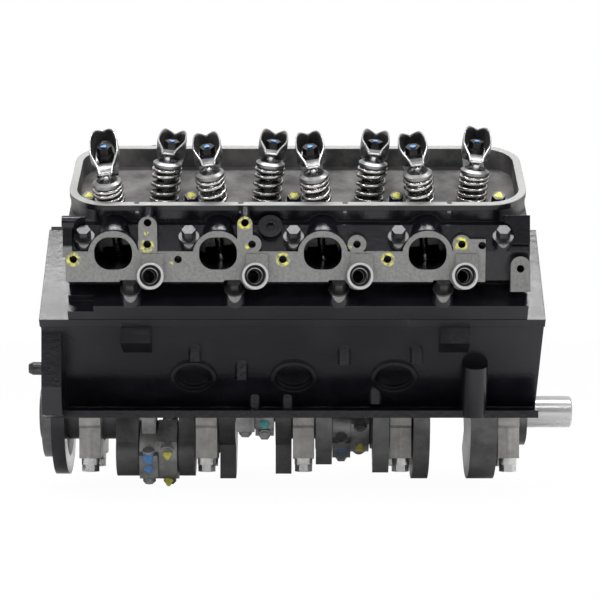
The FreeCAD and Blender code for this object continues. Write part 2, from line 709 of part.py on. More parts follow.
def rod_pieces():
    """A connecting rod hung from its small end at the origin, with its cap, bolts and shells."""
    width = S.rod_width
    big = S.rod_journal / 2 + S.rod_clearance + S.rod_shell
    centre = Vector(0, 0, -S.rod_length)
    half = Vector(width / 2, 0, 0)
    big_end = Part.makeCylinder(big + 7.5, width, centre - half, ALONG_X)
    shoulders = Part.makeBox(width, 2 * (big + 13.0), 34.0, Vector(-width / 2, -big - 13.0, -S.rod_length - 17.0))
    small_end = Part.makeCylinder(19.0, width, Vector(-width / 2, 0, 0), ALONG_X)
    outline = [(-17.0, -S.rod_length + 20), (-11.0, -18.0), (11.0, -18.0), (17.0, -S.rod_length + 20)]
    beam = section_prism(outline, -9.0, 18.0)
    pocket = [(-10.5, -S.rod_length + 48), (-6.5, -28.0), (6.5, -28.0), (10.5, -S.rod_length + 48)]
    beam = beam.cut(section_prism(pocket, 3.5, 9.0)).cut(section_prism(pocket, -12.5, 9.0))
    shape = fused([big_end, shoulders, small_end, beam])
    shape = shape.cut(x_rod_at(big, centre, 40)).cut(x_rod_at(S.pin_diameter / 2 + 0.02, Vector(0, 0, 0), 40))
    spread = big + 6.6
    for side in (-1, 1):
        place = Vector(0, side * spread, -S.rod_length - 30)
        shape = shape.cut(rod(4.9, place, place + Vector(0, 0, 60)))
        shape = shape.cut(rod(7.8, place + Vector(0, 0, 47), place + Vector(0, 0, 62)))
        shape = shape.cut(rod(8.6, place - Vector(0, 0, 10), place + Vector(0, 0, 13)))
    lower = Part.makeBox(100, 200, 100, Vector(-50, -100, -S.rod_length - 100.02))
    cap = shape.common(lower)
    upper = shape.cut(Part.makeBox(100, 200, 100, Vector(-50, -100, -S.rod_length - 99.98)))
    pieces = upper.Solids + cap.Solids
    for side in (-1, 1):
        seat = Vector(0, side * spread, -S.rod_length - 17.0)
        shank = rod(4.75, seat - Vector(0, 0, 10), seat + Vector(0, 0, 34))
        nut = hexagon(14.3, seat, Vector(0, 0, -1), 8.0)
        head = rod(7.5, seat + Vector(0, 0, 34), seat + Vector(0, 0, 39))
        pieces.append(fused([shank, nut, head]))
    return pieces + rod_shells(centre, big)


def x_rod_at(radius, centre, length):
    return Part.makeCylinder(radius, length, centre - Vector(length / 2, 0, 0), ALONG_X)


def rod_shells(centre, big):
    """The two halves of a big end bearing."""
    sleeve = x_rod_at(big - 0.02, centre, S.rod_width - 2)
    sleeve = sleeve.cut(x_rod_at(big - S.rod_shell, centre, S.rod_width))
    shells = []
    for low in (0.02, -100.02):
        half = Part.makeBox(100, 200, 100, centre + Vector(-50, -100, low))
        shells.append(sleeve.common(half))
    return shells


def in_cylinder(cylinder, pieces, tilt=0.0):
    """Puts pieces made about a piston pin into their bore, leaned about the pin axis."""
    height, _ = rest_pose(cylinder)
    side = -1 if is_right(cylinder) else 1
    bank_lean = side * 45.0
    origin = clock_point(bore_x(cylinder), bank_lean, height)
    placed = []
    for piece in pieces:
        copy = piece.copy()
        spin = FreeCAD.Rotation(Vector(-1, 0, 0), bank_lean + tilt)
        copy.Placement = FreeCAD.Placement(origin, spin)
        placed.append(copy)
    return placed


# Camshaft and its drive
def lobe_clock(cylinder, intake):
    """Where a lobe's nose points, clockwise from up."""
    peak = INTAKE_PEAK if intake else EXHAUST_PEAK
    lean = -45.0 if is_right(cylinder) else 45.0
    ahead = (peak - phase(cylinder) + 360) % 720 - 360
    return lean - ahead / 2


def valve_lift(cylinder, intake):
    """Lobe lift under a flat lifter at rest."""
    peak = INTAKE_PEAK if intake else EXHAUST_PEAK
    ahead = (peak - phase(cylinder) + 360) % 720 - 360
    lift = S.cam_nose_reach * math.cos(math.radians(ahead / 2)) + S.cam_nose_radius - S.cam_base_radius
    return max(0.0, lift) if abs(ahead / 2) < QUARTER_TURN else 0.0


def lobe_x(cylinder, intake):
    """Lobe station: the intake lies ahead in the right bank and behind in the left."""
    side = 1 if intake == is_right(cylinder) else -1
    return bore_x(cylinder) + side * S.lifter_spread


def cam_lobe(x, clock):
    """Base circle and nose joined by their tangents."""
    start = x - S.lobe_width / 2
    axis = Vector(start, 0, S.cam_height)
    nose = axis + clock_point(0, clock, S.cam_nose_reach)
    lean = math.degrees(math.acos((S.cam_base_radius - S.cam_nose_radius) / S.cam_nose_reach))
    corners = [
        axis + clock_point(0, clock + lean, S.cam_base_radius),
        nose + clock_point(0, clock + lean, S.cam_nose_radius),
        nose + clock_point(0, clock - lean, S.cam_nose_radius),
        axis + clock_point(0, clock - lean, S.cam_base_radius),
    ]
    flank = Part.Face(Part.makePolygon(corners + corners[:1])).extrude(Vector(S.lobe_width, 0, 0))
    base = Part.makeCylinder(S.cam_base_radius, S.lobe_width, axis, ALONG_X)
    tip = Part.makeCylinder(S.cam_nose_radius, S.lobe_width, nose, ALONG_X)
    return fused([base, tip, flank])


def camshaft():
    """Camshaft with five journals and sixteen lobes."""
    shapes = [cam_axis_rod(15.5, S.rear_main - 8, S.front_main - S.rear_main + 12)]
    for middle in MAINS:
        shapes.append(cam_axis_rod(S.cam_journal / 2, middle - 10, 20))
    nose_end = S.sprocket_front - S.sprocket_width
    shapes.append(cam_axis_rod(CAM_NOSE, S.front_main, nose_end - S.front_main))
    for cylinder in CYLINDERS:
        for intake in (True, False):
            shapes.append(cam_lobe(lobe_x(cylinder, intake), lobe_clock(cylinder, intake)))
    shape = fused(shapes)
    for k in range(3):
        centre = clock_point(nose_end - 18, 120.0 * k, CAM_BOLT_CIRCLE) + Vector(0, 0, S.cam_height)
        shape = shape.cut(Part.makeCylinder(4.05, 20, centre, ALONG_X))
    return shape


def cam_bearings():
    """Pressed sleeves in the camshaft tunnel."""
    inner = S.cam_journal / 2 + S.running_fit
    outer = inner + S.cam_bearing_wall - 0.02
    return [cam_axis_rod(outer, m - 10, 20).cut(cam_axis_rod(inner, m - 11, 22)) for m in MAINS]


def chain_radius(teeth):
    """Pitch radius of a sprocket."""
    return S.sprocket_pitch / 2 / math.sin(math.pi / teeth)


def sprocket(teeth, z, bore):
    """A toothed wheel: a disc with one round gullet for each tooth."""
    start = S.sprocket_front - S.sprocket_width
    reach = chain_radius(teeth)
    shape = x_rod(reach + 3.2, start, S.sprocket_width, 0, z)
    gullets = []
    for k in range(int(teeth)):
        centre = clock_point(start - 1, 360.0 * k / teeth, reach) + Vector(0, 0, z)
        gullets.append(Part.makeCylinder(2.7, S.sprocket_width + 2, centre, ALONG_X))
    shape = shape.cut(Part.makeCompound(gullets))
    return shape.cut(x_rod(bore, start - 1, S.sprocket_width + 2, 0, z))


def crank_sprocket():
    shape = sprocket(S.crank_teeth, 0.0, S.sprocket_seat / 2 + 0.02)
    start = S.sprocket_front - S.sprocket_width - 1
    return shape.cut(Part.makeBox(S.sprocket_width + 2, 5.0, S.snout_diameter / 2 + 2.4, Vector(start, -2.5, 0)))


def cam_sprocket():
    shape = sprocket(2 * S.crank_teeth, S.cam_height, 6.0)
    start = S.sprocket_front - S.sprocket_width
    for k in range(3):
        centre = clock_point(start - 1, 120.0 * k, CAM_BOLT_CIRCLE) + Vector(0, 0, S.cam_height)
        shape = shape.cut(Part.makeCylinder(4.2, S.sprocket_width + 2, centre, ALONG_X))
    for k in range(5):
        centre = clock_point(start - 1, 72.0 * k, 46.0) + Vector(0, 0, S.cam_height)
        shape = shape.cut(Part.makeCylinder(13.0, S.sprocket_width + 2, centre, ALONG_X))
    return shape


def cam_bolts():
    shapes = []
    for k in range(3):
        seat = clock_point(S.sprocket_front, 120.0 * k, CAM_BOLT_CIRCLE) + Vector(0, 0, S.cam_height)
        shank = Part.makeCylinder(4.0, 22.0, seat - Vector(22, 0, 0), ALONG_X)
        shapes.append(fused([shank, hexagon(12.7, seat, ALONG_X, 5.5)]))
    return shapes


def chain():
    """The timing chain as one closed band around both sprockets."""
    start = S.sprocket_front - S.sprocket_width + 1.0
    width = S.sprocket_width - 2.0

    def loop(extra):
        small = chain_radius(S.crank_teeth) + extra
        large = chain_radius(2 * S.crank_teeth) + extra
        lean = math.degrees(math.asin((large - small) / S.cam_height))
        top = Vector(start, 0, S.cam_height)
        low = Vector(start, 0, 0)
        clocks = (QUARTER_TURN + lean, -QUARTER_TURN - lean)
        corners = [top + clock_point(0, clocks[0], large), low + clock_point(0, clocks[0], small)]
        corners += [low + clock_point(0, clocks[1], small), top + clock_point(0, clocks[1], large)]
        flank = Part.Face(Part.makePolygon(corners + corners[:1])).extrude(Vector(width, 0, 0))
        large_disc = Part.makeCylinder(large, width, top, ALONG_X)
        small_disc = Part.makeCylinder(small, width, low, ALONG_X)
        return fused([flank, large_disc, small_disc])

    return loop(6.2).cut(loop(3.6))


# Heads
def rail_frame():
    """Corner, inward direction and normal of the valve cover rail."""
    tilt = math.radians(S.rail_tilt)
    corner = bank_point(S.head_rear, S.cover_edge_across, S.cover_edge_up)
    inward = Vector(0, math.cos(tilt), math.sin(tilt))
    normal = Vector(0, -math.sin(tilt), math.cos(tilt))
    return corner, inward, normal


def rail_plate(inset, top, bottom):
    """A block with the rail's rounded outline, between two depths below the rail."""
    corner, inward, normal = rail_frame()
    radius = S.cover_corner - inset
    length = S.head_length - 2 * inset
    width = S.cover_width - 2 * inset
    box = Part.makeBox(length, width, bottom - top)
    uprights = [edge for edge in box.Edges if abs(edge.tangentAt(edge.FirstParameter).z) > 0.9]
    plate = box.makeFillet(radius, uprights)
    origin = corner + ALONG_X * inset + inward * inset - normal * bottom
    return framed(plate, origin, ALONG_X, normal)


def tray_wall():
    """The rocker tray's wall below its lip, set back from the rail on both long sides."""
    corner, inward, normal = rail_frame()
    inset, drop = S.cover_undercut, 29.0
    box = Part.makeBox(S.head_length - 2.0, S.cover_width - 2 * inset, drop)
    uprights = [edge for edge in box.Edges if abs(edge.tangentAt(edge.FirstParameter).z) > 0.9]
    wall = box.makeFillet(S.cover_corner - inset, uprights)
    return framed(wall, corner + ALONG_X + inward * inset - normal * (drop + 2.0), ALONG_X, normal)


def cover_bolts():
    """Valve cover bolts along the outer rail."""
    return [x - 0.5 * S.port_behind + 13.0 for x in right_bores()]


def bolt_depth(k):
    """How deep a head bolt goes into the block: the outermost four end in the deck's lip."""
    return 11.0 if k < 4 else 45.0


def head_bolt_places():
    """Bolt places of the right head as x, across, seat height, from the outside in."""
    bores = right_bores()
    between = [bores[0] - S.bore_spacing / 2] + [x + S.bore_spacing / 2 for x in bores]
    lower = [(x - 8, -66.0, S.deck_height + S.gasket + S.head_flange + 16) for x in bores]
    outer = [(x, -31.0, 339.0) for x in between]
    inner = [(x, 45.0, 324.0) for x in between]
    return lower + outer + inner


def head_up():
    return S.deck_height + S.gasket


def port_frame():
    """Foot and directions of the exhaust flange face: up the face and straight out."""
    tilt = math.radians(S.port_face_tilt)
    foot = Vector(0, -S.port_face_out, S.port_face_foot)
    up_face = Vector(0, -math.sin(tilt), math.cos(tilt))
    out = Vector(0, -math.cos(tilt), -math.sin(tilt))
    return foot, up_face, out


def port_places():
    return [x - S.port_behind for x in right_bores()]


def on_flange(x, rise, depth=0.0):
    """A place on the exhaust flange face, or behind it."""
    foot, up_face, out = port_frame()
    return foot + ALONG_X * x + up_face * rise - out * depth


def flange_block(start, end, bottom, top, depth):
    """A block behind the flange face between two places along it."""
    out = port_frame()[2]
    box = Part.makeBox(end - start, top - bottom, depth)
    return framed(box, on_flange(start, bottom, depth), ALONG_X, out)


def flange_holes():
    """Manifold bolt holes of every port, and the upper holes of the bolt columns, as x and rise."""
    ports = port_places()
    places = [(x - 47.0, 27.0) for x in ports] + [(x + 40.0, 45.0) for x in ports]
    return places + [(ports[0] + 40.8, 70.6), (ports[1] + 31.7, 70.6), (ports[3] + 63.7, 43.5)]


def port_runners():
    """The exhaust flange: arches, low strip and bolt columns, with a runner humped behind each arch."""
    out = port_frame()[2]
    ports = port_places()
    shapes = [flange_block(S.head_rear, ports[3] + 68.0, 0.0, S.port_strip, 22.0)]
    for x in ports:
        centre = on_flange(x, S.port_rise - 3.0)
        shapes.append(rod(S.port_arch, on_flange(x, S.port_rise - 3.0, 40.0), centre))
        shapes.append(flange_block(x - S.port_arch, x + S.port_arch, 0.0, S.port_rise, 40.0))
        shapes.append(rod(11.0, on_flange(x + 40.0, 45.0, 22.0), on_flange(x + 40.0, 45.0)))
        front = Vector(x, -S.port_face_out, S.port_face_foot + S.port_rise)
        hump = rod(22.5, front - Vector(0, 14, 14), front + Vector(0, 36, 36))
        shapes.append(hump.common(flange_block(x - 40, x + 40, 0.0, 200.0, 60.0)))
    for middle, half in ((ports[0] + 40.8, 11.0), (ports[1] + 31.7, 9.0)):
        shapes.append(flange_block(middle - half, middle + half, 0.0, S.flange_column - half, 18.0))
        top = on_flange(middle, S.flange_column - half)
        shapes.append(rod(half, top - out * 18.0, top))
        shapes.append(rod(5.5, on_flange(middle, S.flange_column - half, 7.0), rail_point(middle, 6.5, 4.0)))
    shapes.append(flange_block(ports[3] + 30.0, ports[3] + 68.0, 0.0, 51.0, 18.0))
    shapes += head_ends()
    return shapes


def rail_point(x, inward, down):
    """A place inwards from the outer edge of the valve cover rail and down from its face."""
    corner, across, normal = rail_frame()
    return Vector(x, corner.y, corner.z) + across * inward - normal * down


def head_ends():
    """Cast ears at the rear, and the accessory pad at the front."""
    rear, front = S.head_rear, S.head_rear + S.head_length
    y = -S.port_face_out
    ear = x_rod(8.0, rear - 4.0, 27.0, y - 4.0, 235.5)
    rib = Part.makeBox(11.0, 22.0, 42.0, Vector(rear - 3.0, y - 8.0, 195.0))
    pad = Part.makeBox(23.0, 34.0, 30.0, Vector(front - 23.0, y - 8.0, 154.0))
    crown = Part.makeCylinder(11.5, 34.0, Vector(front - 11.5, y - 8.0, 184.0), Vector(0, 1, 0))
    upper = Part.makeBox(30.0, 26.0, 34.0, Vector(front - 30.0, y - 4.0, 210.0))
    pad = fused([pad, crown]).cut(Part.makeCylinder(4.5, 18.0, Vector(front - 11.5, y - 9.0, 181.0), Vector(0, 1, 0)))
    return [ear, rib, pad, upper]


def socket_plug_axis():
    """Foot and outward direction of the boss for a socket plug, between the second and third ports."""
    outward = Vector(0, -32, 15).normalize()
    return Vector(293.0, -248.0, 228.0), outward


def port_holes():
    """Exhaust ports, deep enough to meet the valve's bowl."""
    foot, up_face, out = port_frame()
    shapes = []
    for x in port_places():
        box = Part.makeBox(S.port_width, S.port_height, S.port_depth + 18.0)
        uprights = [edge for edge in box.Edges if abs(edge.tangentAt(edge.FirstParameter).z) > 0.9]
        box = box.makeFillet(17.0, uprights)
        corner = foot + Vector(x - S.port_width / 2, 0, 0) + up_face * (S.port_rise - S.port_height / 2)
        shapes.append(framed(box, corner - out * S.port_depth, ALONG_X, out))
    return shapes


def plug_axes():
    """Outer end and inward direction of each spark plug hole."""
    axes = []
    for x in right_bores():
        outer = Vector(x + S.plug_ahead, -S.port_face_out - S.plug_out, 172.2)
        inner = bank_point(x + 2.0, -20.0, head_up() + 12)
        axes.append((outer, (inner - outer).normalize()))
    return axes


def valve_axis(x, intake):
    """Face centre and stem direction of a right bank valve."""
    tilt = math.radians(S.intake_tilt if intake else S.exhaust_tilt)
    cant = math.tan(math.radians(S.valve_cant)) * (1 if intake else -1)
    ahead = S.intake_ahead if intake else -S.exhaust_behind
    across = S.intake_across if intake else S.exhaust_across
    up = S.intake_up if intake else S.exhaust_up
    centre = bank_point(x + ahead, across, up)
    lean = bank_point(0, math.sin(tilt), math.cos(tilt))
    return centre, (lean + ALONG_X * cant).normalize()


def spring_seat(intake):
    """Distance from a closed valve's face to its spring seat."""
    length = S.intake_length if intake else S.exhaust_length
    return length - S.tip_height - S.retainer_thickness - S.spring_height


def valves():
    """Every right bank valve as bore place, kind, cylinder of the right and of the left bank."""
    right = sorted(RIGHT, key=bore_x)
    left = sorted((c for c in CYLINDERS if not is_right(c)), key=bore_x, reverse=True)
    return [(bore_x(r), intake, r, twin) for r, twin in zip(right, left) for intake in (False, True)]


def cylinder_head():
    """A bare right head in place."""
    base = head_up()
    far = S.cover_edge_across + S.cover_width * 0.9537
    outline = [
        (S.deck_outer, base), (S.deck_outer, base + S.head_flange), (-40.0, base + S.head_flange),
        (-53.0, 290.0), (-43.1, 327.4), (-9.9, 339.4), (far - 6.0, 291.0), (147.3, base),
    ]
    shapes = [bank_prism(outline, S.head_rear, S.head_length), rail_plate(0, 0, S.cover_lip)]
    shapes += [tray_wall()] + port_runners()
    for outer, inward in plug_axes():
        shapes.append(rod(S.plug_seat / 2, outer, outer + inward * 40))
        tower = Part.makeBox(26.0, 22.0, 24.0, Vector(outer.x - 11.0, outer.y + 3.0, outer.z + 2.0))
        shapes.append(tower)
    for x, across, up in head_bolt_places()[:9]:
        shapes.append(Part.makeCone(14.0, 10.5, 18, bank_point(x, across, up - 18), bank_point(0, 0, 1)))
    boss, outward = socket_plug_axis()
    shapes.append(rod(14.5, boss - outward * 8, boss + outward * 9))
    shape = fused(shapes).cut(rail_plate(S.cover_rail, -5, S.cover_depth))
    posts = []
    tray = rail_plate(S.cover_rail, 0.0, S.cover_depth + 10)
    for x, intake, _, _ in valves():
        centre, stem = valve_axis(x, intake)
        posts.append(rod(21.0, centre + stem * (spring_seat(intake) - 25), centre + stem * spring_seat(intake)))
        pivot = rocker_pivot(x, intake)[0]
        posts.append(rod(11.0, pivot - rocker_pivot(x, intake)[2] * 75, pivot - rocker_pivot(x, intake)[2] * 22))
    for x, across, up in head_bolt_places()[9:]:
        posts.append(rod(13.0, bank_point(x, across, up - 25), bank_point(x, across, up)))
    shape = shape.fuse(Part.makeCompound([post.common(tray) for post in posts]))
    cuts = port_holes()
    for x in right_bores():
        chamber = rod(51.0, bank_point(x, 0, base - 1), bank_point(x, 0, base + 9))
        cuts.append(chamber)
    for x, intake, right, twin in valves():
        centre, stem = valve_axis(x, intake)
        reach = (S.intake_head if intake else S.exhaust_head) / 2 + 0.6
        cuts.append(rod(reach, centre - stem * 26, centre + stem * 3.2).common(deck_space()))
        cuts.append(rod(reach - 2.1, centre, centre + stem * 26))
        pivot, _, upright = rocker_pivot(x, intake)
        cuts.append(rod(4.9, pivot - upright * 60, pivot - upright * 20))
        cuts.append(rod(S.stem_diameter / 2 + 0.04, centre, centre + stem * 140))
        foot, direction = pushrod_axis(x, intake)
        cuts.append(rod(9.0, foot, foot + direction * 260).common(pushrod_space()))
    for outer, inward in plug_axes():
        cuts.append(rod(S.plug_hole / 2, outer - inward * 2, outer + inward * 60))
        cuts.append(rod(12.6, outer - inward * 2, outer + inward * 3))
        cuts.append(rod(9.2, outer - inward * 2, outer + inward * 9))
    for k, (x, across, up) in enumerate(head_bolt_places()):
        room = 13.5 if k < 4 else 40.0
        cuts.append(rod(S.bolt_shank / 2 + 0.15, bank_point(x, across, 200), bank_point(x, across, up + 5)))
        cuts.append(rod(12.5, bank_point(x, across, up), bank_point(x, across, up + room)))
    out = port_frame()[2]
    for x, rise in flange_holes():
        cuts.append(rod(S.flange_hole / 2, on_flange(x, rise) + out, on_flange(x, rise, 20.0)))
    cuts.append(rod(5.0, boss + outward * 3, boss + outward * 10))
    cuts.append(rod(9.0, boss + outward * 7.5, boss + outward * 10))
    step = [(-90.0, base + 13.0), (-90.0, base + 40.0), (-60.0, base + 40.0), (-60.0, base + 13.0)]
    cuts.append(bank_prism(step, S.head_rear - 1, 32.0))
    for x in cover_bolts():
        cuts.append(rod(3.2, rail_point(x, 6.5, -2.0), rail_point(x, 6.5, 14.0)))
    for x in right_bores():
        port = Part.makeBox(32.0, 24.0, 50.0)
        corner, inward, normal = rail_frame()
        place = corner + inward * (S.cover_width - 35) - normal * 33 + Vector(x - 17 - S.head_rear, 0, 0)
        cuts.append(framed(port, place, ALONG_X, inward))
    return shape.cut(Part.makeCompound(cuts))


def deck_space():
    """The room just above the deck, where valve pockets may reach."""
    base = head_up()
    return bank_prism([(-60, base - 5), (-60, base + 40), (70, base + 40), (70, base - 5)], S.head_rear, S.head_length)


def pushrod_space():
    """The inner part of the head, which the pushrods pass through."""
    return bank_prism([(72, 240), (72, 380), (150, 380), (150, 240)], S.head_rear, S.head_length)


def opened(cylinder, intake):
    """How far a valve stands open."""
    return S.rocker_ratio * valve_lift(cylinder, intake)


def valve_tip(x, intake, lift=0.0):
    centre, stem = valve_axis(x, intake)
    length = S.intake_length if intake else S.exhaust_length
    return centre + stem * (length - lift)


ROCKER_SHEET_DEPTH = 5.6
LIFTER_CUP = 4.0


def rocker_pivot(x, intake):
    """Pivot, direction towards the pushrod and upright of a right bank rocker."""
    centre, stem = valve_axis(x, intake)
    tip = valve_tip(x, intake)
    inboard = bank_point(0, 1, 0) - stem * bank_point(0, 1, 0).dot(stem)
    inboard = inboard.normalize()
    splay = ALONG_X * (0.1 if intake else -0.1)
    inboard = (inboard + splay).normalize()
    upright = (stem - inboard * stem.dot(inboard)).normalize()
    return tip + inboard * S.rocker_reach - upright * S.rocker_drop, inboard, upright


def rocker_swing(lift):
    """Rocker angle at which its round pad has followed an open valve."""
    pad = S.rocker_drop + S.rocker_pad
    span = math.hypot(S.rocker_reach, pad)
    return math.degrees(math.acos((pad - lift) / span) - math.atan2(S.rocker_reach, pad))


def pushrod_seat(x, intake, lift):
    """Where the pushrod meets its rocker."""
    pivot, inboard, upright = rocker_pivot(x, intake)
    arm = S.rocker_reach / S.rocker_ratio
    angle = math.radians(rocker_swing(lift))
    along = inboard * math.cos(angle) + upright * math.sin(angle)
    up = upright * math.cos(angle) - inboard * math.sin(angle)
    return pivot + along * arm - up * (ROCKER_SHEET_DEPTH + S.pushrod_diameter / 2 + 0.4)


def pushrod_axis(x, intake, lift=0.0):
    """Foot and direction of a pushrod."""
    station = x + (S.lifter_spread if intake else -S.lifter_spread)
    foot, along = lifter_axis(station)
    cup_floor = S.cam_base_radius + S.lifter_clearance + S.lifter_length - LIFTER_CUP + lift / S.rocker_ratio
    cup = foot + along * (cup_floor + S.pushrod_diameter / 2 + 0.15)
    seat = pushrod_seat(x, intake, lift)
    return cup, (seat - cup).normalize()


def head_valves(intake):
    """Valves of one kind, each open as far as its lobe has lifted it."""
    kind_name = "intake" if intake else "exhaust"
    head = "#%s_head / 2" % kind_name
    stem = "#stem_diameter / 2"
    length = "#%s_length" % kind_name
    profile = [("0", "0"), (head, "0"), (head, "1.6"), (head + " - 2.4", "4"), (stem + " + 3", "12"), (stem, "22")]
    profile += [(stem, length + " - 1"), (stem + " - 1", length), ("0", length)]
    master = turned_body(kind_name + "_valve_blank", profile)
    shapes = []
    for x, kind, right, twin in valves():
        if kind != intake:
            continue
        centre, along = valve_axis(x, kind)
        shapes.append(seated(master, centre - along * opened(right, kind), along))
        shapes.append(turned_to_left(seated(master, centre - along * opened(twin, kind), along)))
    return shapes


def at_valves(build):
    """One piece at each of the sixteen valves, from build(x, intake, lift)."""
    shapes = []
    for x, intake, right, twin in valves():
        shapes += build(x, intake, opened(right, intake))
        shapes += [turned_to_left(shape) for shape in build(x, intake, opened(twin, intake))]
    return shapes


def spring_pieces(x, intake, lift):
    centre, stem = valve_axis(x, intake)
    seat = centre + stem * (spring_seat(intake) + 0.05)
    top = centre + stem * (spring_seat(intake) + S.spring_height - 0.1 - lift)
    return [ring(S.spring_diameter / 2, S.spring_inside / 2, seat, top)]


RETAINER = turned_body("retainer_blank", [
    ("#stem_diameter / 2 + 0.02", "-3"), ("#spring_inside / 2 - 0.5", "-3"), ("#spring_inside / 2 - 0.5", "0"),
    ("#retainer_diameter / 2", "0"), ("#retainer_diameter / 2", "#retainer_thickness - 2.5"), ("13", "#retainer_thickness"),
    ("11", "#retainer_thickness"), ("9.5", "#retainer_thickness - 2.5"), ("#stem_diameter / 2 + 0.02", "#retainer_thickness - 2.5"),
])


def retainer_pieces(x, intake, lift):
    """The dished retainer with its split keepers."""
    centre, stem = valve_axis(x, intake)
    base = centre + stem * (spring_seat(intake) + S.spring_height - lift)
    return [seated(RETAINER, base, stem)]


def seal_pieces(x, intake, lift):
    centre, stem = valve_axis(x, intake)
    seat = centre + stem * (spring_seat(intake) + 0.05)
    return [ring(8.0, S.stem_diameter / 2 + 0.03, seat, seat + stem * 12)]


def rocker_master():
    """A pressed steel rocker: pivot at the origin, pushrod along +X, upright along Z."""
    arm = S.rocker_reach / S.rocker_ratio
    wall = S.rocker_wall
    tip = -S.rocker_reach - 5.0
    end = arm + 9.0
    shelf = S.rocker_drop + 2.0
    floor = [(end, 0.0), (arm, -ROCKER_SHEET_DEPTH), (7, -10.4), (-8, -10.4), (-22, shelf), (tip, shelf)]
    side = [(tip, shelf + 4.5), (-22, 13), (-8, 17.0), (8, 20), (end - 4, 20), (end, 14)] + floor
    inner = [(x, z + wall) for x, z in floor]
    hollow_side = [(tip - 2, 40), (end - wall, 40), (end - wall, wall)] + inner[1:-1] + [(tip - 2, shelf + wall)]

    def slab(points, half_tip, half_pivot, far):
        face = Part.Face(Part.makePolygon([Vector(x, -60, z) for x, z in points + points[:1]]))
        plan = [(tip - 3, -half_tip), (-12, -half_pivot), (10, -half_pivot), (far, 6 - half_pivot)]
        plan += [(far, half_pivot - 6), (10, half_pivot), (-12, half_pivot), (tip - 3, half_tip)]
        plan_face = Part.Face(Part.makePolygon([Vector(x, y, -60) for x, y in plan + plan[:1]]))
        return face.extrude(Vector(0, 120, 0)).common(plan_face.extrude(Vector(0, 0, 120)))

    outer = slab(side, S.rocker_tip_width / 2, S.rocker_width / 2, end)
    hollow = slab(hollow_side, S.rocker_tip_width / 2 - wall, S.rocker_width / 2 - wall, end + 1)
    pad_centre = Vector(-S.rocker_reach, 0, S.rocker_drop + 0.1 + S.rocker_pad)
    half_pad = Vector(0, S.rocker_tip_width / 2 - 1, 0)
    pad = rod(S.rocker_pad, pad_centre - half_pad, pad_centre + half_pad)
    pad = pad.common(Part.makeBox(9, 60, 20, Vector(-S.rocker_reach - 4.5, -30, shelf + 0.5 - 20)))
    shape = outer.cut(hollow).fuse(pad)
    shape = shape.cut(rod(8.0, Vector(0, 0, -20), Vector(0, 0, 20)))
    shape = shape.cut(rod(7.0, Vector(end - 12, 0, 21.0), Vector(end + 12, 0, 21.0)))
    return shape.cut(Part.makeSphere(S.rocker_ball + 0.1)).removeSplitter()


ROCKER = rocker_master()


def tilted_frame(x, intake, lift):
    """A rocker's own directions once it has followed its valve."""
    pivot, inboard, upright = rocker_pivot(x, intake)
    angle = math.radians(rocker_swing(lift))
    along = inboard * math.cos(angle) + upright * math.sin(angle)
    up = upright * math.cos(angle) - inboard * math.sin(angle)
    return pivot, along, up


def rocker_pieces(x, intake, lift):
    pivot, along, up = tilted_frame(x, intake, lift)
    return [framed(ROCKER, pivot, along, up)]


def ball_pieces(x, intake, lift):
    """The pivot ball that the rocker rolls on."""
    pivot, _, upright = rocker_pivot(x, intake)
    disc = Part.makeCylinder(20, 10.4, Vector(0, 0, -7.4), ALONG_Z)
    ball = Part.makeSphere(S.rocker_ball).common(disc)
    ball = ball.cut(Part.makeCylinder(4.9, 40, Vector(0, 0, -20), ALONG_Z))
    return [seated(ball, pivot, upright)]


def rocker_bolt_pieces(x, intake, lift):
    pivot, _, upright = rocker_pivot(x, intake)
    top = pivot + upright * 3.1
    shank = rod(4.75, top, top - upright * 46)
    return [fused([shank, hexagon(16.0, top, upright, 9.0)])]


def guide_plate_pieces(x, intake, lift):
    """A plate clamped under the rocker bolt, forked round the pushrod."""
    pivot, inboard, upright = rocker_pivot(x, intake)
    base = pivot - upright * 21.9
    arm = S.rocker_reach / S.rocker_ratio
    plate = Part.makeBox(arm + 26, 26, 2.6, Vector(-13, -13, 0))
    plate = plate.cut(Part.makeBox(30, 12.4, 6, Vector(arm - 7, -6.2, -1)))
    plate = plate.cut(Part.makeCylinder(4.95, 8, Vector(0, 0, -2)))
    return [framed(plate, base, inboard, upright)]


def pushrod_pieces(x, intake, lift):
    cup, along = pushrod_axis(x, intake, lift)
    seat = pushrod_seat(x, intake, lift)
    radius = S.pushrod_diameter / 2
    return [fused([rod(radius, cup, seat), Part.makeSphere(radius, cup), Part.makeSphere(radius, seat)])]


LIFTER = turned_body("lifter_blank", [
    ("0", "0"), ("#lifter_diameter / 2", "0"), ("#lifter_diameter / 2", "24"), ("#lifter_diameter / 2 - 1.2", "24.5"),
    ("#lifter_diameter / 2 - 1.2", "30.5"), ("#lifter_diameter / 2", "31"), ("#lifter_diameter / 2", "#lifter_length"),
    ("6.5", "#lifter_length"), ("6.5", "#lifter_length - %g" % LIFTER_CUP), ("0", "#lifter_length - %g" % LIFTER_CUP),
])


def lifter_pieces(x, intake, lift):
    station = x + (S.lifter_spread if intake else -S.lifter_spread)
    foot, along = lifter_axis(station)
    base = foot + along * (S.cam_base_radius + S.lifter_clearance + lift / S.rocker_ratio)
    return [seated(LIFTER, base, along)]


def head_bolt_pieces():
    """Sixteen bolts of a head, one of them per place."""
    shapes = []
    up_bank = bank_point(0, 0, 1)
    for k, (x, across, up) in enumerate(head_bolt_places()):
        seat = bank_point(x, across, up)
        shank = rod(S.bolt_shank / 2, bank_point(x, across, S.deck_height - bolt_depth(k)), seat + up_bank * 1)
        washer = rod(12.3, seat, seat + up_bank * 2.4)
        shapes.append(fused([shank, washer, hexagon(S.bolt_hex, seat + up_bank * 2.4, up_bank, 10.5)]))
    return both_banks(shapes)


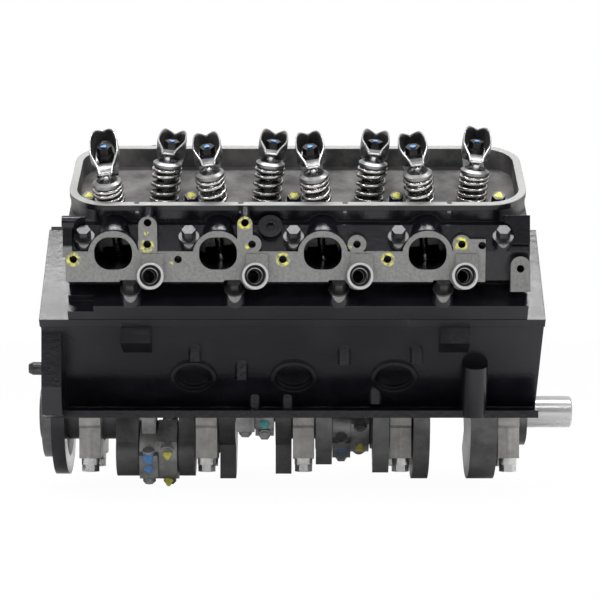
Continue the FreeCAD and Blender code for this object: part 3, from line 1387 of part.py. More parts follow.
def head_gasket():
    """A gasket with four fire rings' openings and the bolt holes."""
    base = S.deck_height
    length = S.head_length - 12
    outline = [(S.deck_outer + 2, base), (S.deck_outer + 2, head_up()), (S.deck_inner, head_up()), (S.deck_inner, base)]
    shape = bank_prism(outline, S.head_rear + 6, length)
    for x in right_bores():
        shape = shape.cut(rod(S.bore / 2 + 1.5, bank_point(x, 0, base - 1), bank_point(x, 0, base + 3)))
    for x, across, _ in head_bolt_places():
        shape = shape.cut(rod(S.bolt_shank / 2 + 0.8, bank_point(x, across, base - 1), bank_point(x, across, base + 3)))
    return shape


def dowels():
    """Hollow head dowels and the two bellhousing dowels."""
    shapes = []
    for y, z in bell_dowels():
        body = x_rod(7.9, 5.0, S.bell_face + 14 - 5.0, y, z)
        tip = Part.makeCone(5.6, 7.9, 5.0, Vector(0.0, y, z), ALONG_X)
        shapes.append(body.fuse(tip).removeSplitter())
    return shapes


def thrust_plate():
    """Plate that keeps the camshaft in the block."""
    start = S.front_face - S.cover_recess - THRUST_PLATE
    return cam_axis_rod(THRUST_RADIUS, start, THRUST_PLATE).cut(cam_axis_rod(CAM_NOSE + 0.3, start - 1, 6))


def keys():
    """The crank sprocket's key."""
    return Part.makeBox(7.8, 4.7, 5.0, Vector(S.sprocket_front - 8.0, -2.35, S.snout_diameter / 2 - 2.9))


# Sub-parts, each under the name that its file carries
add_feature("engine_block", [engine_block()])
add_feature("core_plugs", core_plugs())
add_feature("main_bearing_caps", main_caps())
add_feature("main_cap_bolts", main_bolts())
add_feature("main_bearing_shells", main_shells())
add_feature("crankshaft", [crankshaft()])
add_feature("crank_key", [keys()])
add_feature("rear_seal_retainer", [rear_seal()])
add_feature("crank_sprocket", [crank_sprocket()])
for number in CYLINDERS:
    add_feature("piston_%d" % number, in_cylinder(number, piston_pieces()))
    swing = math.degrees(rest_pose(number)[1])
    add_feature("connecting_rod_%d" % number, in_cylinder(number, rod_pieces(), -swing))
add_feature("camshaft", [camshaft()])
add_feature("camshaft_bearings", cam_bearings())
add_feature("cam_sprocket", [cam_sprocket()])
add_feature("cam_sprocket_bolts", cam_bolts())
add_feature("camshaft_thrust_plate", [thrust_plate()])
add_feature("timing_chain", [chain()])
right_head = cylinder_head()
add_feature("right_cylinder_head", [right_head])
add_feature("left_cylinder_head", [turned_to_left(right_head)])
add_feature("head_gaskets", both_banks([head_gasket()]))
add_feature("head_bolts", head_bolt_pieces())
add_feature("intake_valves", head_valves(True))
add_feature("exhaust_valves", head_valves(False))
add_feature("valve_springs", at_valves(spring_pieces))
add_feature("spring_retainers", at_valves(retainer_pieces))
add_feature("valve_stem_seals", at_valves(seal_pieces))
add_feature("rocker_arms", at_valves(rocker_pieces))
add_feature("rocker_pivot_balls", at_valves(ball_pieces))
add_feature("rocker_bolts", at_valves(rocker_bolt_pieces))
add_feature("pushrod_guide_plates", at_valves(guide_plate_pieces))
add_feature("pushrods", at_valves(pushrod_pieces))
add_feature("valve_lifters", at_valves(lifter_pieces))
add_feature("dowel_pins", dowels())

# Check and write every sub-part
doc.recompute()
for item in doc.Objects:
    if "Invalid" in item.State or "Error" in item.State:
        raise RuntimeError("failed object " + item.Label)
os.makedirs("parts", exist_ok=True)
for item in subparts:
    if item.Shape.isNull() or not item.Shape.isValid():
        raise RuntimeError("bad shape in " + item.Label)
    item.Shape.exportStep(os.path.join("parts", item.Label + ".step"))
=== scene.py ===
"""Studio scene of the long block: surfaces, coil springs, pressed rockers, paint marks and studio light."""
import math
import bmesh
import bpy
import numpy as np
from mathutils import Matrix, Vector

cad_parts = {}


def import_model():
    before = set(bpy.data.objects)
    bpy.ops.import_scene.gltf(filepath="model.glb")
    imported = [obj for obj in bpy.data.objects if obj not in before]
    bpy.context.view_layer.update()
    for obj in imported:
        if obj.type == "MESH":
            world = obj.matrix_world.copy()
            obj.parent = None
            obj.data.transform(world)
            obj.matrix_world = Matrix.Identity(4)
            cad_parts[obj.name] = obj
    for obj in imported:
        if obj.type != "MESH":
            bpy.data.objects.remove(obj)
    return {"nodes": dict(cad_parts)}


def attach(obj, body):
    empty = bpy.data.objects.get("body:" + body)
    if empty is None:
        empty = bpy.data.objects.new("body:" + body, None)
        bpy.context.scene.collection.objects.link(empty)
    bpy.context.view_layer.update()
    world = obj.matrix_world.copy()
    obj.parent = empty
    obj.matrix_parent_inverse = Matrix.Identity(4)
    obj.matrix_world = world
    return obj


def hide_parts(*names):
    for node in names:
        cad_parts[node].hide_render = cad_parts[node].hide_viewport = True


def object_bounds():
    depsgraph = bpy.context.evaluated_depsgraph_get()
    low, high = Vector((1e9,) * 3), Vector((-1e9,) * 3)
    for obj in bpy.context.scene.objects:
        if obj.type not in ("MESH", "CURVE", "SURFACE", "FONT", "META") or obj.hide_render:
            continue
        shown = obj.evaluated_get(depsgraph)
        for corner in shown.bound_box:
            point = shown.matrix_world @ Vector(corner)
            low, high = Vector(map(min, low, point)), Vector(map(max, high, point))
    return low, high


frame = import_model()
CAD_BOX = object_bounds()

NODES = frame["nodes"]

# Station of the middle main bearing: the left head is the right one turned end for end about it
MIDDLE_MAIN = 0.3325

# Camera of the photograph: level, square to the side of the engine
CAMERA_PLACE = (0.328, -2.85, 0.1444)
CAMERA_FOCUS = 2204.0
PHOTO_WIDTH = 600.0
SENSOR = 36.0

# Brightness of the studio room as reflections and soft light see it
ROOM_BRIGHT_SIDE = (0.0, 0.5, 0.866)
ROOM_DIM = 0.25
ROOM_BRIGHT = 1.0
ROOM_TURNS_FROM = -0.1
ROOM_TURNS_TO = 0.8

# Valve cover rail and exhaust flange of the right head, in metres
RAIL_TILT = math.radians(27.5)
RAIL_EDGE = Vector((0.0, -0.25696, 0.25597))
RAIL_WIDTH = 0.175
RAIL_SKIN = 0.0006
TRAY_WALL = 0.0082
TRAY_DEPTH = 0.036
PORT_TILT = math.radians(12.0)
PORT_FOOT = Vector((0.0, -0.258, 0.1656))
FLANGE_SKIN = 0.0008

# Where the polished front of the crankshaft begins
SNOUT_START = Vector((0.6055, 0.0, 0.0))


# Materials
class Recipe:
    """A new node material with its shader, its object coordinates and helpers for the usual steps."""

    def __init__(self, name, turned=False):
        self.material = bpy.data.materials.new(name)
        self.material.use_nodes = True
        self.tree = self.material.node_tree
        self.shader = self.tree.nodes["Principled BSDF"]
        self.place = self.tree.nodes.new("ShaderNodeTexCoord").outputs["Object"]
        if turned:
            self.place = self.turn_end_for_end(self.place)

    def node(self, kind, **settings):
        made = self.tree.nodes.new(kind)
        for key, setting in settings.items():
            setattr(made, key, setting)
        return made

    def link(self, source, target):
        self.tree.links.new(source, target)

    def set(self, **sockets):
        for key, amount in sockets.items():
            self.shader.inputs[key.replace("_", " ")].default_value = amount

    def turn_end_for_end(self, place):
        """Coordinates of the left bank as if it were the right one."""
        turned = self.node("ShaderNodeVectorMath", operation="MULTIPLY_ADD")
        self.link(place, turned.inputs[0])
        turned.inputs[1].default_value = (-1, -1, 1)
        turned.inputs[2].default_value = (2 * MIDDLE_MAIN, 0, 0)
        return turned.outputs[0]

    def noise(self, scale, detail, roughness, stretch=None):
        made = self.node("ShaderNodeTexNoise")
        made.inputs["Scale"].default_value = scale
        made.inputs["Detail"].default_value = detail
        made.inputs["Roughness"].default_value = roughness
        source = self.place
        if stretch:
            mapping = self.node("ShaderNodeMapping")
            mapping.inputs["Scale"].default_value = stretch
            self.link(self.place, mapping.inputs["Vector"])
            source = mapping.outputs[0]
        self.link(source, made.inputs["Vector"])
        return made.outputs["Fac"]

    def ranged(self, source, low, high, to_low=0.0, to_high=1.0):
        made = self.node("ShaderNodeMapRange")
        for key, amount in zip(("From Min", "From Max", "To Min", "To Max"), (low, high, to_low, to_high)):
            made.inputs[key].default_value = amount
        self.link(source, made.inputs["Value"])
        return made.outputs["Result"]

    def maths(self, operation, first, second):
        made = self.node("ShaderNodeMath", operation=operation)
        for socket, amount in zip(made.inputs, (first, second)):
            if isinstance(amount, (int, float)):
                socket.default_value = amount
            else:
                self.link(amount, socket)
        return made.outputs[0]

    def blend(self, factor, first, second):
        """Two colours, or colour sockets, mixed by a factor socket."""
        made = self.node("ShaderNodeMix", data_type="RGBA")
        self.link(factor, made.inputs["Factor"])
        for key, colour in (("A", first), ("B", second)):
            socket = [item for item in made.inputs if item.name == key and item.type == "RGBA"][0]
            if isinstance(colour, tuple):
                socket.default_value = colour + (1.0,)
            else:
                self.link(colour, socket)
        return [item for item in made.outputs if item.type == "RGBA"][0]

    def beyond(self, direction, point, offset, softness=0.0006):
        """One where the surface lies further along a direction from a point than an offset."""
        dot = self.node("ShaderNodeVectorMath", operation="DOT_PRODUCT")
        self.link(self.place, dot.inputs[0])
        dot.inputs[1].default_value = direction
        level = Vector(direction).dot(point) + offset
        return self.ranged(dot.outputs["Value"], level - softness, level + softness)

    def bumps(self, layers, rounding=0.0):
        """Bump from (height socket, distance, strength) layers, one on the next, over rounded edges."""
        previous = None
        if rounding:
            bevel = self.node("ShaderNodeBevel", samples=4)
            bevel.inputs["Radius"].default_value = rounding
            previous = bevel.outputs[0]
        for height, distance, strength in layers:
            made = self.node("ShaderNodeBump")
            made.inputs["Distance"].default_value = distance
            made.inputs["Strength"].default_value = strength
            self.link(height, made.inputs["Height"])
            if previous:
                self.link(previous, made.inputs["Normal"])
            previous = made.outputs[0]
        self.link(previous, self.shader.inputs["Normal"])

    def near(self, point, radius, softness):
        """One within a radius of a point, fading out over a softness."""
        gap = self.node("ShaderNodeVectorMath", operation="DISTANCE")
        self.link(self.place, gap.inputs[0])
        gap.inputs[1].default_value = point
        return self.ranged(gap.outputs["Value"], radius + softness, radius)

    def colour(self, socket):
        self.link(socket, self.shader.inputs["Base Color"])

    def roughness(self, socket):
        self.link(socket, self.shader.inputs["Roughness"])


# Colours
ENAMEL = (0.005, 0.005, 0.007)
ENAMEL_DUST = (0.011, 0.011, 0.014)
CAST_GREY = (0.165, 0.16, 0.158)
CAST_DARK = (0.06, 0.058, 0.058)
RAIL_GREY = (0.36, 0.36, 0.355)
MARKER_YELLOW = (0.62, 0.58, 0.08)
SEAT_GREY = (0.42, 0.42, 0.42)
FLANGE_LOW = (0.13, 0.13, 0.128)
FLANGE_HIGH = (0.21, 0.21, 0.205)
RAIL_LOW = (0.27, 0.27, 0.265)
SNOUT_BRIGHT = (0.42, 0.42, 0.42)
CRANK_LOW = (0.06, 0.06, 0.062)
CRANK_HIGH = (0.14, 0.14, 0.14)
SMEARED_SHARE = 0.72
STREAKED_SHARE = 0.6

# Sheen of the enamel, of the bare metal on the heads and of the polished snout
ENAMEL_SPECULAR = 0.3
ENAMEL_ROUGHNESS = 0.16
METAL_ROUGHENS = 0.3
METAL_SHARE = 0.35
SNOUT_SMOOTHER = 0.2

# Spark plug seats of the right head: places, and the radii of their rings
RIGHT_BORES = (0.1361, 0.259, 0.382, 0.5049)
PLUG_AHEAD = 0.0167
SEAT_ACROSS = -0.270
SEAT_UP = 0.1728
SEAT_RIM = 0.0155
SEAT_RECESS = 0.0126
SEAT_CORE = 0.0096
SEAT_HOLE = 0.0076
SEAT_EDGE = 0.0005
RIM_EDGE = 0.0006


def enamel_colour(recipe, patches):
    """Black, with a little dust in patches."""
    return recipe.blend(recipe.ranged(patches, 0.45, 0.75), ENAMEL, ENAMEL_DUST)


def enamel():
    """Gloss black enamel sprayed over sand cast iron."""
    recipe = Recipe("black_enamel_paint")
    sand = recipe.noise(scale=900.0, detail=3.0, roughness=0.7)
    orange_peel = recipe.noise(scale=160.0, detail=2.0, roughness=0.5)
    patches = recipe.noise(scale=22.0, detail=5.0, roughness=0.6)
    recipe.colour(enamel_colour(recipe, patches))
    recipe.roughness(recipe.ranged(patches, 0.35, 0.7, to_low=0.13, to_high=0.26))
    recipe.set(Specular_IOR_Level=ENAMEL_SPECULAR)
    layers = [(patches, 0.0012, 0.25), (orange_peel, 0.0007, 0.35), (sand, 0.0003, 0.35)]
    recipe.bumps(layers, rounding=0.0012)
    return recipe.material


# Holes of the exhaust flange with a ring of marker paint, and those with a small dab
RING_RADIUS = 0.0068
RING_FADE = 0.0022
DAB_RADIUS = 0.0022
DAB_FADE = 0.0008
MARKED_HOLES = [
    (0.0618, -0.2637, 0.192), (0.1486, -0.2670, 0.2077), (0.2635, -0.2727, 0.2347),
    (0.3081, -0.2637, 0.192), (0.4312, -0.2637, 0.192), (0.5168, -0.2675, 0.2101),
]
DABBED_HOLES = [
    (0.1765, -0.2630, 0.187), (0.1480, -0.2700, 0.2225), (0.2660, -0.2670, 0.207), (0.3860, -0.2670, 0.207),
]


def plug_seats(recipe):
    """Masks of the seats' bright machined rings, and of the recess and plug hole they stand in, whose
    darkness is painted shade.
    """
    seats, painted_recess_shade = 0.0, 0.0
    for station in RIGHT_BORES:
        seat = (station + PLUG_AHEAD, SEAT_ACROSS, SEAT_UP)
        shaded_recess_disc = recipe.near(seat, SEAT_RECESS, SEAT_EDGE)
        rim = recipe.maths("SUBTRACT", recipe.near(seat, SEAT_RIM, RIM_EDGE), shaded_recess_disc)
        hole = recipe.near(seat, SEAT_HOLE, SEAT_EDGE)
        core = recipe.maths("SUBTRACT", recipe.near(seat, SEAT_CORE, SEAT_EDGE), hole)
        seats = recipe.maths("MAXIMUM", recipe.maths("MAXIMUM", rim, core), seats)
        # painted shade: the recess disc, plug hole included, is gathered here to be coloured near black
        painted_recess_shade = recipe.maths("MAXIMUM", shaded_recess_disc, painted_recess_shade)
    return seats, painted_recess_shade


def marker_ink(recipe, flange):
    """Mask of the smeared marker paint round the holes of the exhaust flange."""
    smear = recipe.ranged(recipe.noise(scale=230.0, detail=3.0, roughness=0.6), 0.42, 0.6)
    rings = 0.0
    for hole in MARKED_HOLES:
        rings = recipe.maths("MAXIMUM", recipe.near(hole, RING_RADIUS, RING_FADE), rings)
    for hole in DABBED_HOLES:
        rings = recipe.maths("MAXIMUM", recipe.near(hole, DAB_RADIUS, DAB_FADE), rings)
    return recipe.maths("MULTIPLY", recipe.maths("MULTIPLY", rings, smear), flange)


def head_paint(name, turned):
    """A head: enamel outside, grey cast rocker tray, milled rail and bare exhaust flange."""
    recipe = Recipe(name, turned)
    normal = (0.0, -math.sin(RAIL_TILT), math.cos(RAIL_TILT))
    inward = (0.0, math.cos(RAIL_TILT), math.sin(RAIL_TILT))
    out = (0.0, -math.cos(PORT_TILT), -math.sin(PORT_TILT))
    milled = recipe.beyond(normal, RAIL_EDGE, -RAIL_SKIN, softness=0.0002)
    past_near_wall = recipe.beyond(inward, RAIL_EDGE, TRAY_WALL)
    past_far_wall = recipe.beyond(inward, RAIL_EDGE, RAIL_WIDTH - TRAY_WALL)
    inside = recipe.maths("MULTIPLY", past_near_wall, recipe.maths("SUBTRACT", 1.0, past_far_wall))
    tray = recipe.maths("MULTIPLY", inside, recipe.beyond(normal, RAIL_EDGE, -TRAY_DEPTH))
    flange = recipe.beyond(out, PORT_FOOT, -FLANGE_SKIN, softness=0.0003)
    sand = recipe.noise(scale=800.0, detail=3.0, roughness=0.7)
    orange_peel = recipe.noise(scale=150.0, detail=2.0, roughness=0.5)
    patches = recipe.noise(scale=24.0, detail=5.0, roughness=0.6)
    fine = recipe.noise(scale=300.0, detail=6.0, roughness=0.7)
    paint = enamel_colour(recipe, patches)
    cast = recipe.blend(recipe.ranged(patches, 0.38, 0.66), CAST_DARK, CAST_GREY)
    bare = recipe.blend(recipe.ranged(fine, 0.35, 0.7), FLANGE_LOW, FLANGE_HIGH)
    rail = recipe.blend(recipe.ranged(fine, 0.3, 0.75), RAIL_LOW, RAIL_GREY)
    surface = recipe.blend(tray, paint, cast)
    surface = recipe.blend(flange, surface, bare)
    surface = recipe.blend(milled, surface, rail)
    seats, painted_recess_shade = plug_seats(recipe)
    # painted shade: the recess and the plug hole inside it are coloured black enamel
    surface = recipe.blend(painted_recess_shade, surface, ENAMEL)
    surface = recipe.blend(seats, surface, SEAT_GREY)
    if not turned:
        surface = recipe.blend(marker_ink(recipe, flange), surface, MARKER_YELLOW)
    recipe.colour(surface)
    milled_faces = recipe.maths("MAXIMUM", milled, flange)
    metal = recipe.maths("MAXIMUM", milled_faces, recipe.maths("MAXIMUM", tray, seats))
    recipe.link(recipe.maths("MULTIPLY", metal, METAL_SHARE), recipe.shader.inputs["Metallic"])
    rough = recipe.maths("MULTIPLY_ADD", metal, METAL_ROUGHENS)
    rough.node.inputs[2].default_value = ENAMEL_ROUGHNESS
    uneven = recipe.ranged(fine, 0.3, 0.8, to_low=-0.03, to_high=0.08)
    recipe.roughness(recipe.maths("ADD", rough, uneven))
    recipe.set(Specular_IOR_Level=ENAMEL_SPECULAR)
    layers = [(patches, 0.0012, 0.25), (orange_peel, 0.0006, 0.3), (sand, 0.0003, 0.4)]
    recipe.bumps(layers, rounding=0.001)
    return recipe.material


def iron(name, low, high, metallic, rough_low, rough_high):
    """A metal mottled between two tones, with uneven sheen and a fine surface."""
    recipe = Recipe(name)
    mottle = recipe.noise(scale=38.0, detail=6.0, roughness=0.65)
    fine = recipe.noise(scale=500.0, detail=4.0, roughness=0.7)
    recipe.colour(recipe.blend(recipe.ranged(mottle, 0.36, 0.68), low, high))
    recipe.roughness(recipe.ranged(mottle, 0.3, 0.75, rough_low, rough_high))
    recipe.set(Metallic=metallic)
    recipe.bumps([(mottle, 0.0008, 0.2), (fine, 0.0003, 0.4)], rounding=0.0006)
    return recipe.material


def turned_steel(name, tone, roughness, stretch):
    """Ground or turned steel with fine lines along the directions whose stretch is one."""
    recipe = Recipe(name)
    lines = recipe.noise(scale=60.0, detail=5.0, roughness=0.7, stretch=stretch)
    smear = recipe.noise(scale=30.0, detail=4.0, roughness=0.6)
    darker = tuple(part * SMEARED_SHARE for part in tone)
    recipe.colour(recipe.blend(recipe.ranged(smear, 0.35, 0.7), tone, darker))
    recipe.roughness(recipe.ranged(lines, 0.3, 0.7, roughness * 0.8, roughness * 1.3))
    recipe.set(Metallic=1.0)
    recipe.bumps([(lines, 0.0002, 0.25)])
    return recipe.material


def crank_paint():
    """Dark oily casting with a polished snout."""
    recipe = Recipe("crank_iron_surface")
    front = recipe.beyond((1.0, 0.0, 0.0), SNOUT_START, 0.0)
    mottle = recipe.noise(scale=30.0, detail=6.0, roughness=0.65)
    fine = recipe.noise(scale=600.0, detail=3.0, roughness=0.7)
    dark = recipe.blend(recipe.ranged(mottle, 0.35, 0.7), CRANK_LOW, CRANK_HIGH)
    recipe.colour(recipe.blend(front, dark, SNOUT_BRIGHT))
    recipe.set(Metallic=0.5)
    cast_rough = recipe.ranged(mottle, 0.3, 0.75, to_low=0.34, to_high=0.52)
    recipe.roughness(recipe.maths("SUBTRACT", cast_rough, recipe.maths("MULTIPLY", front, SNOUT_SMOOTHER)))
    recipe.bumps([(mottle, 0.001, 0.25), (fine, 0.0003, 0.3)])
    return recipe.material


def paint_mark(name, tone):
    """Inspection paint from a marker, thin and uneven."""
    recipe = Recipe(name)
    streaks = recipe.noise(scale=400.0, detail=4.0, roughness=0.6)
    darker = tuple(part * STREAKED_SHARE for part in tone)
    recipe.colour(recipe.blend(recipe.ranged(streaks, 0.35, 0.7), tone, darker))
    recipe.roughness(recipe.ranged(streaks, 0.3, 0.8, to_low=0.3, to_high=0.6))
    recipe.bumps([(streaks, 0.0003, 0.4)])
    return recipe.material


MATERIALS = {
    # iron has its dark tone, light tone, metallic share, lowest and highest roughness
    "enamel": enamel(),
    "right_head": head_paint("right_head_surface", False),
    "left_head": head_paint("left_head_surface", True),
    "bare_iron": iron("bare_cast_iron_surface", (0.22, 0.215, 0.21), (0.42, 0.41, 0.40), 0.5, 0.36, 0.52),
    "forged": iron("forged_steel_surface", (0.17, 0.17, 0.17), (0.42, 0.415, 0.41), 0.45, 0.28, 0.45),
    "aluminium": iron("cast_aluminium_surface", (0.5, 0.5, 0.51), (0.68, 0.68, 0.69), 0.9, 0.28, 0.42),
    "black_oxide": iron("black_oxide_steel", (0.028, 0.028, 0.03), (0.07, 0.07, 0.072), 0.8, 0.28, 0.45),
    "rocker_steel": iron("rocker_steel_surface", (0.10, 0.10, 0.102), (0.24, 0.24, 0.24), 0.9, 0.26, 0.42),
    "bright_steel": turned_steel("ground_steel_surface", (0.55, 0.55, 0.56), 0.24, (1.0, 12.0, 12.0)),
    "plated": iron("zinc_plated_steel", (0.42, 0.42, 0.42), (0.62, 0.62, 0.61), 0.95, 0.24, 0.38),
    "rocker_rim": iron("rocker_rim_surface", (0.30, 0.30, 0.30), (0.46, 0.46, 0.46), 0.9, 0.28, 0.4),
    "spring_wire": iron("spring_wire_surface", (0.34, 0.335, 0.33), (0.56, 0.55, 0.54), 1.0, 0.16, 0.28),
    "damper_wire": iron("damper_wire_surface", (0.03, 0.029, 0.028), (0.07, 0.068, 0.066), 0.9, 0.2, 0.35),
    "crank": crank_paint(),
    "chain": iron("chain_steel_surface", (0.05, 0.05, 0.052), (0.13, 0.13, 0.13), 0.9, 0.3, 0.45),
    "gasket": iron("graphite_gasket", (0.05, 0.05, 0.052), (0.12, 0.12, 0.122), 0.1, 0.55, 0.75),
    "rubber": iron("seal_rubber_surface", (0.012, 0.012, 0.012), (0.03, 0.03, 0.03), 0.0, 0.5, 0.7),
    "bearing": turned_steel("bearing_lining", (0.6, 0.6, 0.58), 0.3, (12.0, 1.0, 1.0)),
    "yellow": paint_mark("yellow_marker", (0.75, 0.72, 0.10)),
    "blue": paint_mark("blue_marker", (0.10, 0.28, 0.62)),
    "teal": paint_mark("teal_marker", (0.05, 0.34, 0.36)),
}

NODE_MATERIALS = {
    "engine_block": "enamel", "core_plugs": "enamel", "rear_seal_retainer": "enamel",
    "dowel_pins": "black_oxide", "right_cylinder_head": "right_head", "left_cylinder_head": "left_head",
    "main_bearing_caps": "bare_iron", "main_cap_bolts": "plated", "main_bearing_shells": "bearing",
    "crankshaft": "crank", "crank_key": "bright_steel", "crank_sprocket": "chain", "cam_sprocket": "chain",
    "cam_sprocket_bolts": "black_oxide", "timing_chain": "chain", "camshaft": "black_oxide",
    "camshaft_bearings": "bearing", "camshaft_thrust_plate": "black_oxide", "head_gaskets": "gasket",
    "head_bolts": "black_oxide", "intake_valves": "bright_steel", "exhaust_valves": "bright_steel",
    "valve_springs": "spring_wire", "spring_retainers": "rocker_steel", "valve_stem_seals": "rubber",
    "rocker_arms": "rocker_steel", "rocker_pivot_balls": "black_oxide", "rocker_bolts": "black_oxide",
    "pushrod_guide_plates": "black_oxide", "pushrods": "bright_steel", "valve_lifters": "bright_steel",
}


def material_of(node):
    if node.startswith("piston"):
        return MATERIALS["aluminium"]
    if node.startswith("connecting_rod"):
        return MATERIALS["forged"]
    return MATERIALS[NODE_MATERIALS[node]]


for name, node in NODES.items():
    for slot in node.material_slots:
        slot.material = material_of(name)


# Mesh helpers
def islands(node):
    """The separate solids of a node as arrays of points."""
    mesh = node.data
    points = np.empty(len(mesh.vertices) * 3)
    mesh.vertices.foreach_get("co", points)
    points = points.reshape(-1, 3)
    _, merged = np.unique(np.round(points, 6), axis=0, return_inverse=True)
    merged = merged.reshape(-1)
    label = np.arange(merged.max() + 1)
    edges = np.empty(len(mesh.edges) * 2, dtype=int)
    mesh.edges.foreach_get("vertices", edges)
    pairs = merged[edges.reshape(-1, 2)]
    settled = False
    while not settled:
        lowest = np.minimum(label[pairs[:, 0]], label[pairs[:, 1]])
        before = label.copy()
        np.minimum.at(label, pairs[:, 0], lowest)
        np.minimum.at(label, pairs[:, 1], lowest)
        label = label[label]
        settled = np.array_equal(before, label)
    owner = label[merged]
    return [points[owner == key] for key in np.unique(owner)]


def long_axis(points):
    """Centres of a long solid's lower and upper ends."""
    centre = points.mean(axis=0)
    _, _, axes = np.linalg.svd(np.unique(np.round(points - centre, 6), axis=0), full_matrices=False)
    axis = axes[0] if axes[0][2] > 0 else -axes[0]
    along = (points - centre) @ axis
    low = points[along < along.min() + 1e-4].mean(axis=0)
    high = points[along > along.max() - 1e-4].mean(axis=0)
    return Vector(low), Vector(high)


def new_piece(name, mesh, material, body):
    """Puts a smooth mesh into the scene with its material, riding on a body."""
    mesh.materials.append(MATERIALS[material])
    mesh.shade_smooth()
    piece = bpy.data.objects.new(name, mesh)
    bpy.context.scene.collection.objects.link(piece)
    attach(piece, body)
    return piece


def swept(ring_frames, radius, sides):
    """A round wire through frames of centre, outward and upward directions."""
    builder = bmesh.new()
    rings = []
    for centre, outward, upward in ring_frames:
        ring = []
        for k in range(sides):
            angle = 2 * math.pi * k / sides
            across = outward * radius * math.cos(angle)
            up = upward * radius * math.sin(angle)
            ring.append(builder.verts.new(centre + across + up))
        rings.append(ring)
    for first, second in zip(rings, rings[1:]):
        for k in range(sides):
            builder.faces.new((first[k], first[(k + 1) % sides], second[(k + 1) % sides], second[k]))
    builder.faces.new(list(reversed(rings[0])))
    builder.faces.new(rings[-1])
    mesh = bpy.data.meshes.new("wire")
    builder.to_mesh(mesh)
    builder.free()
    return mesh


# Valve springs as coils with closed ends
SPRING_RADIUS = 0.0183
SPRING_WIRE = 0.0024
SPRING_TURNS = 4.9
DAMPER_RADIUS = 0.0132
DAMPER_WIRE = 0.0014
DAMPER_TURNS = 8.0
CLOSED_TURNS = 0.9
CLOSED_RISE = 2.7
STEPS_PER_TURN = 28
WIRE_SIDES = 10


def coil(low, high, radius, wire, turns):
    """A coil between two ends, from its outer radius, the radius of its wire and its turns."""
    axis = (high - low).normalized()
    side = axis.orthogonal().normalized()
    other = axis.cross(side)
    height = (high - low).length
    closed = CLOSED_TURNS / turns
    shares = (0.0, closed, 1.0 - closed, 1.0)
    rises = (wire, CLOSED_RISE * wire, height - CLOSED_RISE * wire, height - wire)
    frames = []
    for k in range(int(turns * STEPS_PER_TURN) + 1):
        share = k / (turns * STEPS_PER_TURN)
        angle = 2 * math.pi * turns * share
        rise = np.interp(share, shares, rises)
        outward = side * math.cos(angle) + other * math.sin(angle)
        frames.append((low + axis * rise + outward * (radius - wire), outward, axis))
    return swept(frames, wire, WIRE_SIDES)


spring_pieces = []
for k, points in enumerate(islands(NODES["valve_springs"])):
    low, high = long_axis(points)
    wire = coil(low, high, SPRING_RADIUS, SPRING_WIRE, SPRING_TURNS)
    inner = coil(low, high, DAMPER_RADIUS, DAMPER_WIRE, DAMPER_TURNS)
    spring_pieces.append(new_piece("spring_coil_%02d" % k, wire, "spring_wire", "block_body"))
    spring_pieces.append(new_piece("spring_inner_%02d" % k, inner, "damper_wire", "block_body"))
for piece in spring_pieces:
    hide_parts("valve_springs")


# Rocker arms as pressed steel: one sheet drawn into a boat, its rim ground bright
MILLIMETRE = 0.001
ROCKER_SHEET = 0.0028
LARGEST_CORNER = 6.0
CORNER_OF_WIDTH = 0.62
CORNER_OF_DEPTH = 0.45
FLOOR_FACE = 5
ROCKER_STATIONS = [
    # along, half width, floor, rim, all in millimetres from the pivot
    (-47.0, 8.3, 7.8, 11.0),
    (-44.5, 8.6, 5.7, 11.2),
    (-41.0, 8.9, 5.2, 11.6),
    (-36.0, 9.8, 6.6, 12.2),
    (-29.0, 12.2, 7.0, 13.6),
    (-22.0, 15.0, 4.0, 15.6),
    (-16.0, 17.0, -4.0, 17.6),
    (-10.0, 17.6, -9.6, 18.2),
    (-3.0, 17.6, -10.6, 18.8),
    (5.0, 17.3, -10.4, 20.2),
    (13.0, 16.2, -8.6, 21.6),
    (20.0, 14.2, -6.6, 22.0),
    (26.0, 11.2, -5.4, 20.6),
    (30.5, 7.0, -4.2, 17.4),
    (32.6, 2.6, -3.2, 14.6),
]


def rocker_sheet():
    """The pressed sheet in its own directions: pushrod along +X, upright along +Z, pivot at the origin."""
    builder = bmesh.new()
    rows = []
    for along, half, floor, rim in ROCKER_STATIONS:
        corner = min(LARGEST_CORNER, CORNER_OF_WIDTH * half, CORNER_OF_DEPTH * (rim - floor))
        diagonal = corner * (1.0 - math.sqrt(0.5))
        left = [
            (-half, rim), (-half, 0.5 * (rim + floor + corner)), (-half, floor + corner),
            (diagonal - half, floor + diagonal), (corner - half, floor),
        ]
        section = left + [(0.0, floor)] + [(-y, z) for y, z in reversed(left)]
        points = [(MILLIMETRE * along, MILLIMETRE * y, MILLIMETRE * z) for y, z in section]
        rows.append([builder.verts.new(point) for point in points])
    for first, second in zip(rows, rows[1:]):
        for k in range(len(first) - 1):
            builder.faces.new((first[k], second[k], second[k + 1], first[k + 1]))
    builder.faces.new(rows[-1])
    bmesh.ops.recalc_face_normals(builder, faces=builder.faces)
    if builder.faces[FLOOR_FACE].normal.z > 0:
        bmesh.ops.reverse_faces(builder, faces=builder.faces)
    mesh = bpy.data.meshes.new("rocker_sheet")
    builder.to_mesh(mesh)
    builder.free()
    mesh.materials.append(MATERIALS["rocker_steel"])
    mesh.materials.append(MATERIALS["rocker_rim"])
    sheet = bpy.data.objects.new("rocker_sheet", mesh)
    bpy.context.scene.collection.objects.link(sheet)
    thick = sheet.modifiers.new("sheet", "SOLIDIFY")
    thick.thickness = ROCKER_SHEET
    thick.offset = -1.0
    thick.material_offset_rim = 1
    smooth = sheet.modifiers.new("drawn", "SUBSURF")
    smooth.levels = 2
    smooth.render_levels = 2
    pressed = bpy.data.meshes.new_from_object(sheet.evaluated_get(bpy.context.evaluated_depsgraph_get()))
    bpy.data.objects.remove(sheet)
    return pressed


def nearest_line(lines, point):
    """The (low, high) line whose axis passes nearest a point."""
    def off(line):
        low, high = line
        along = (high - low).normalized()
        return ((point - low) - along * (point - low).dot(along)).length
    return min(lines, key=off)


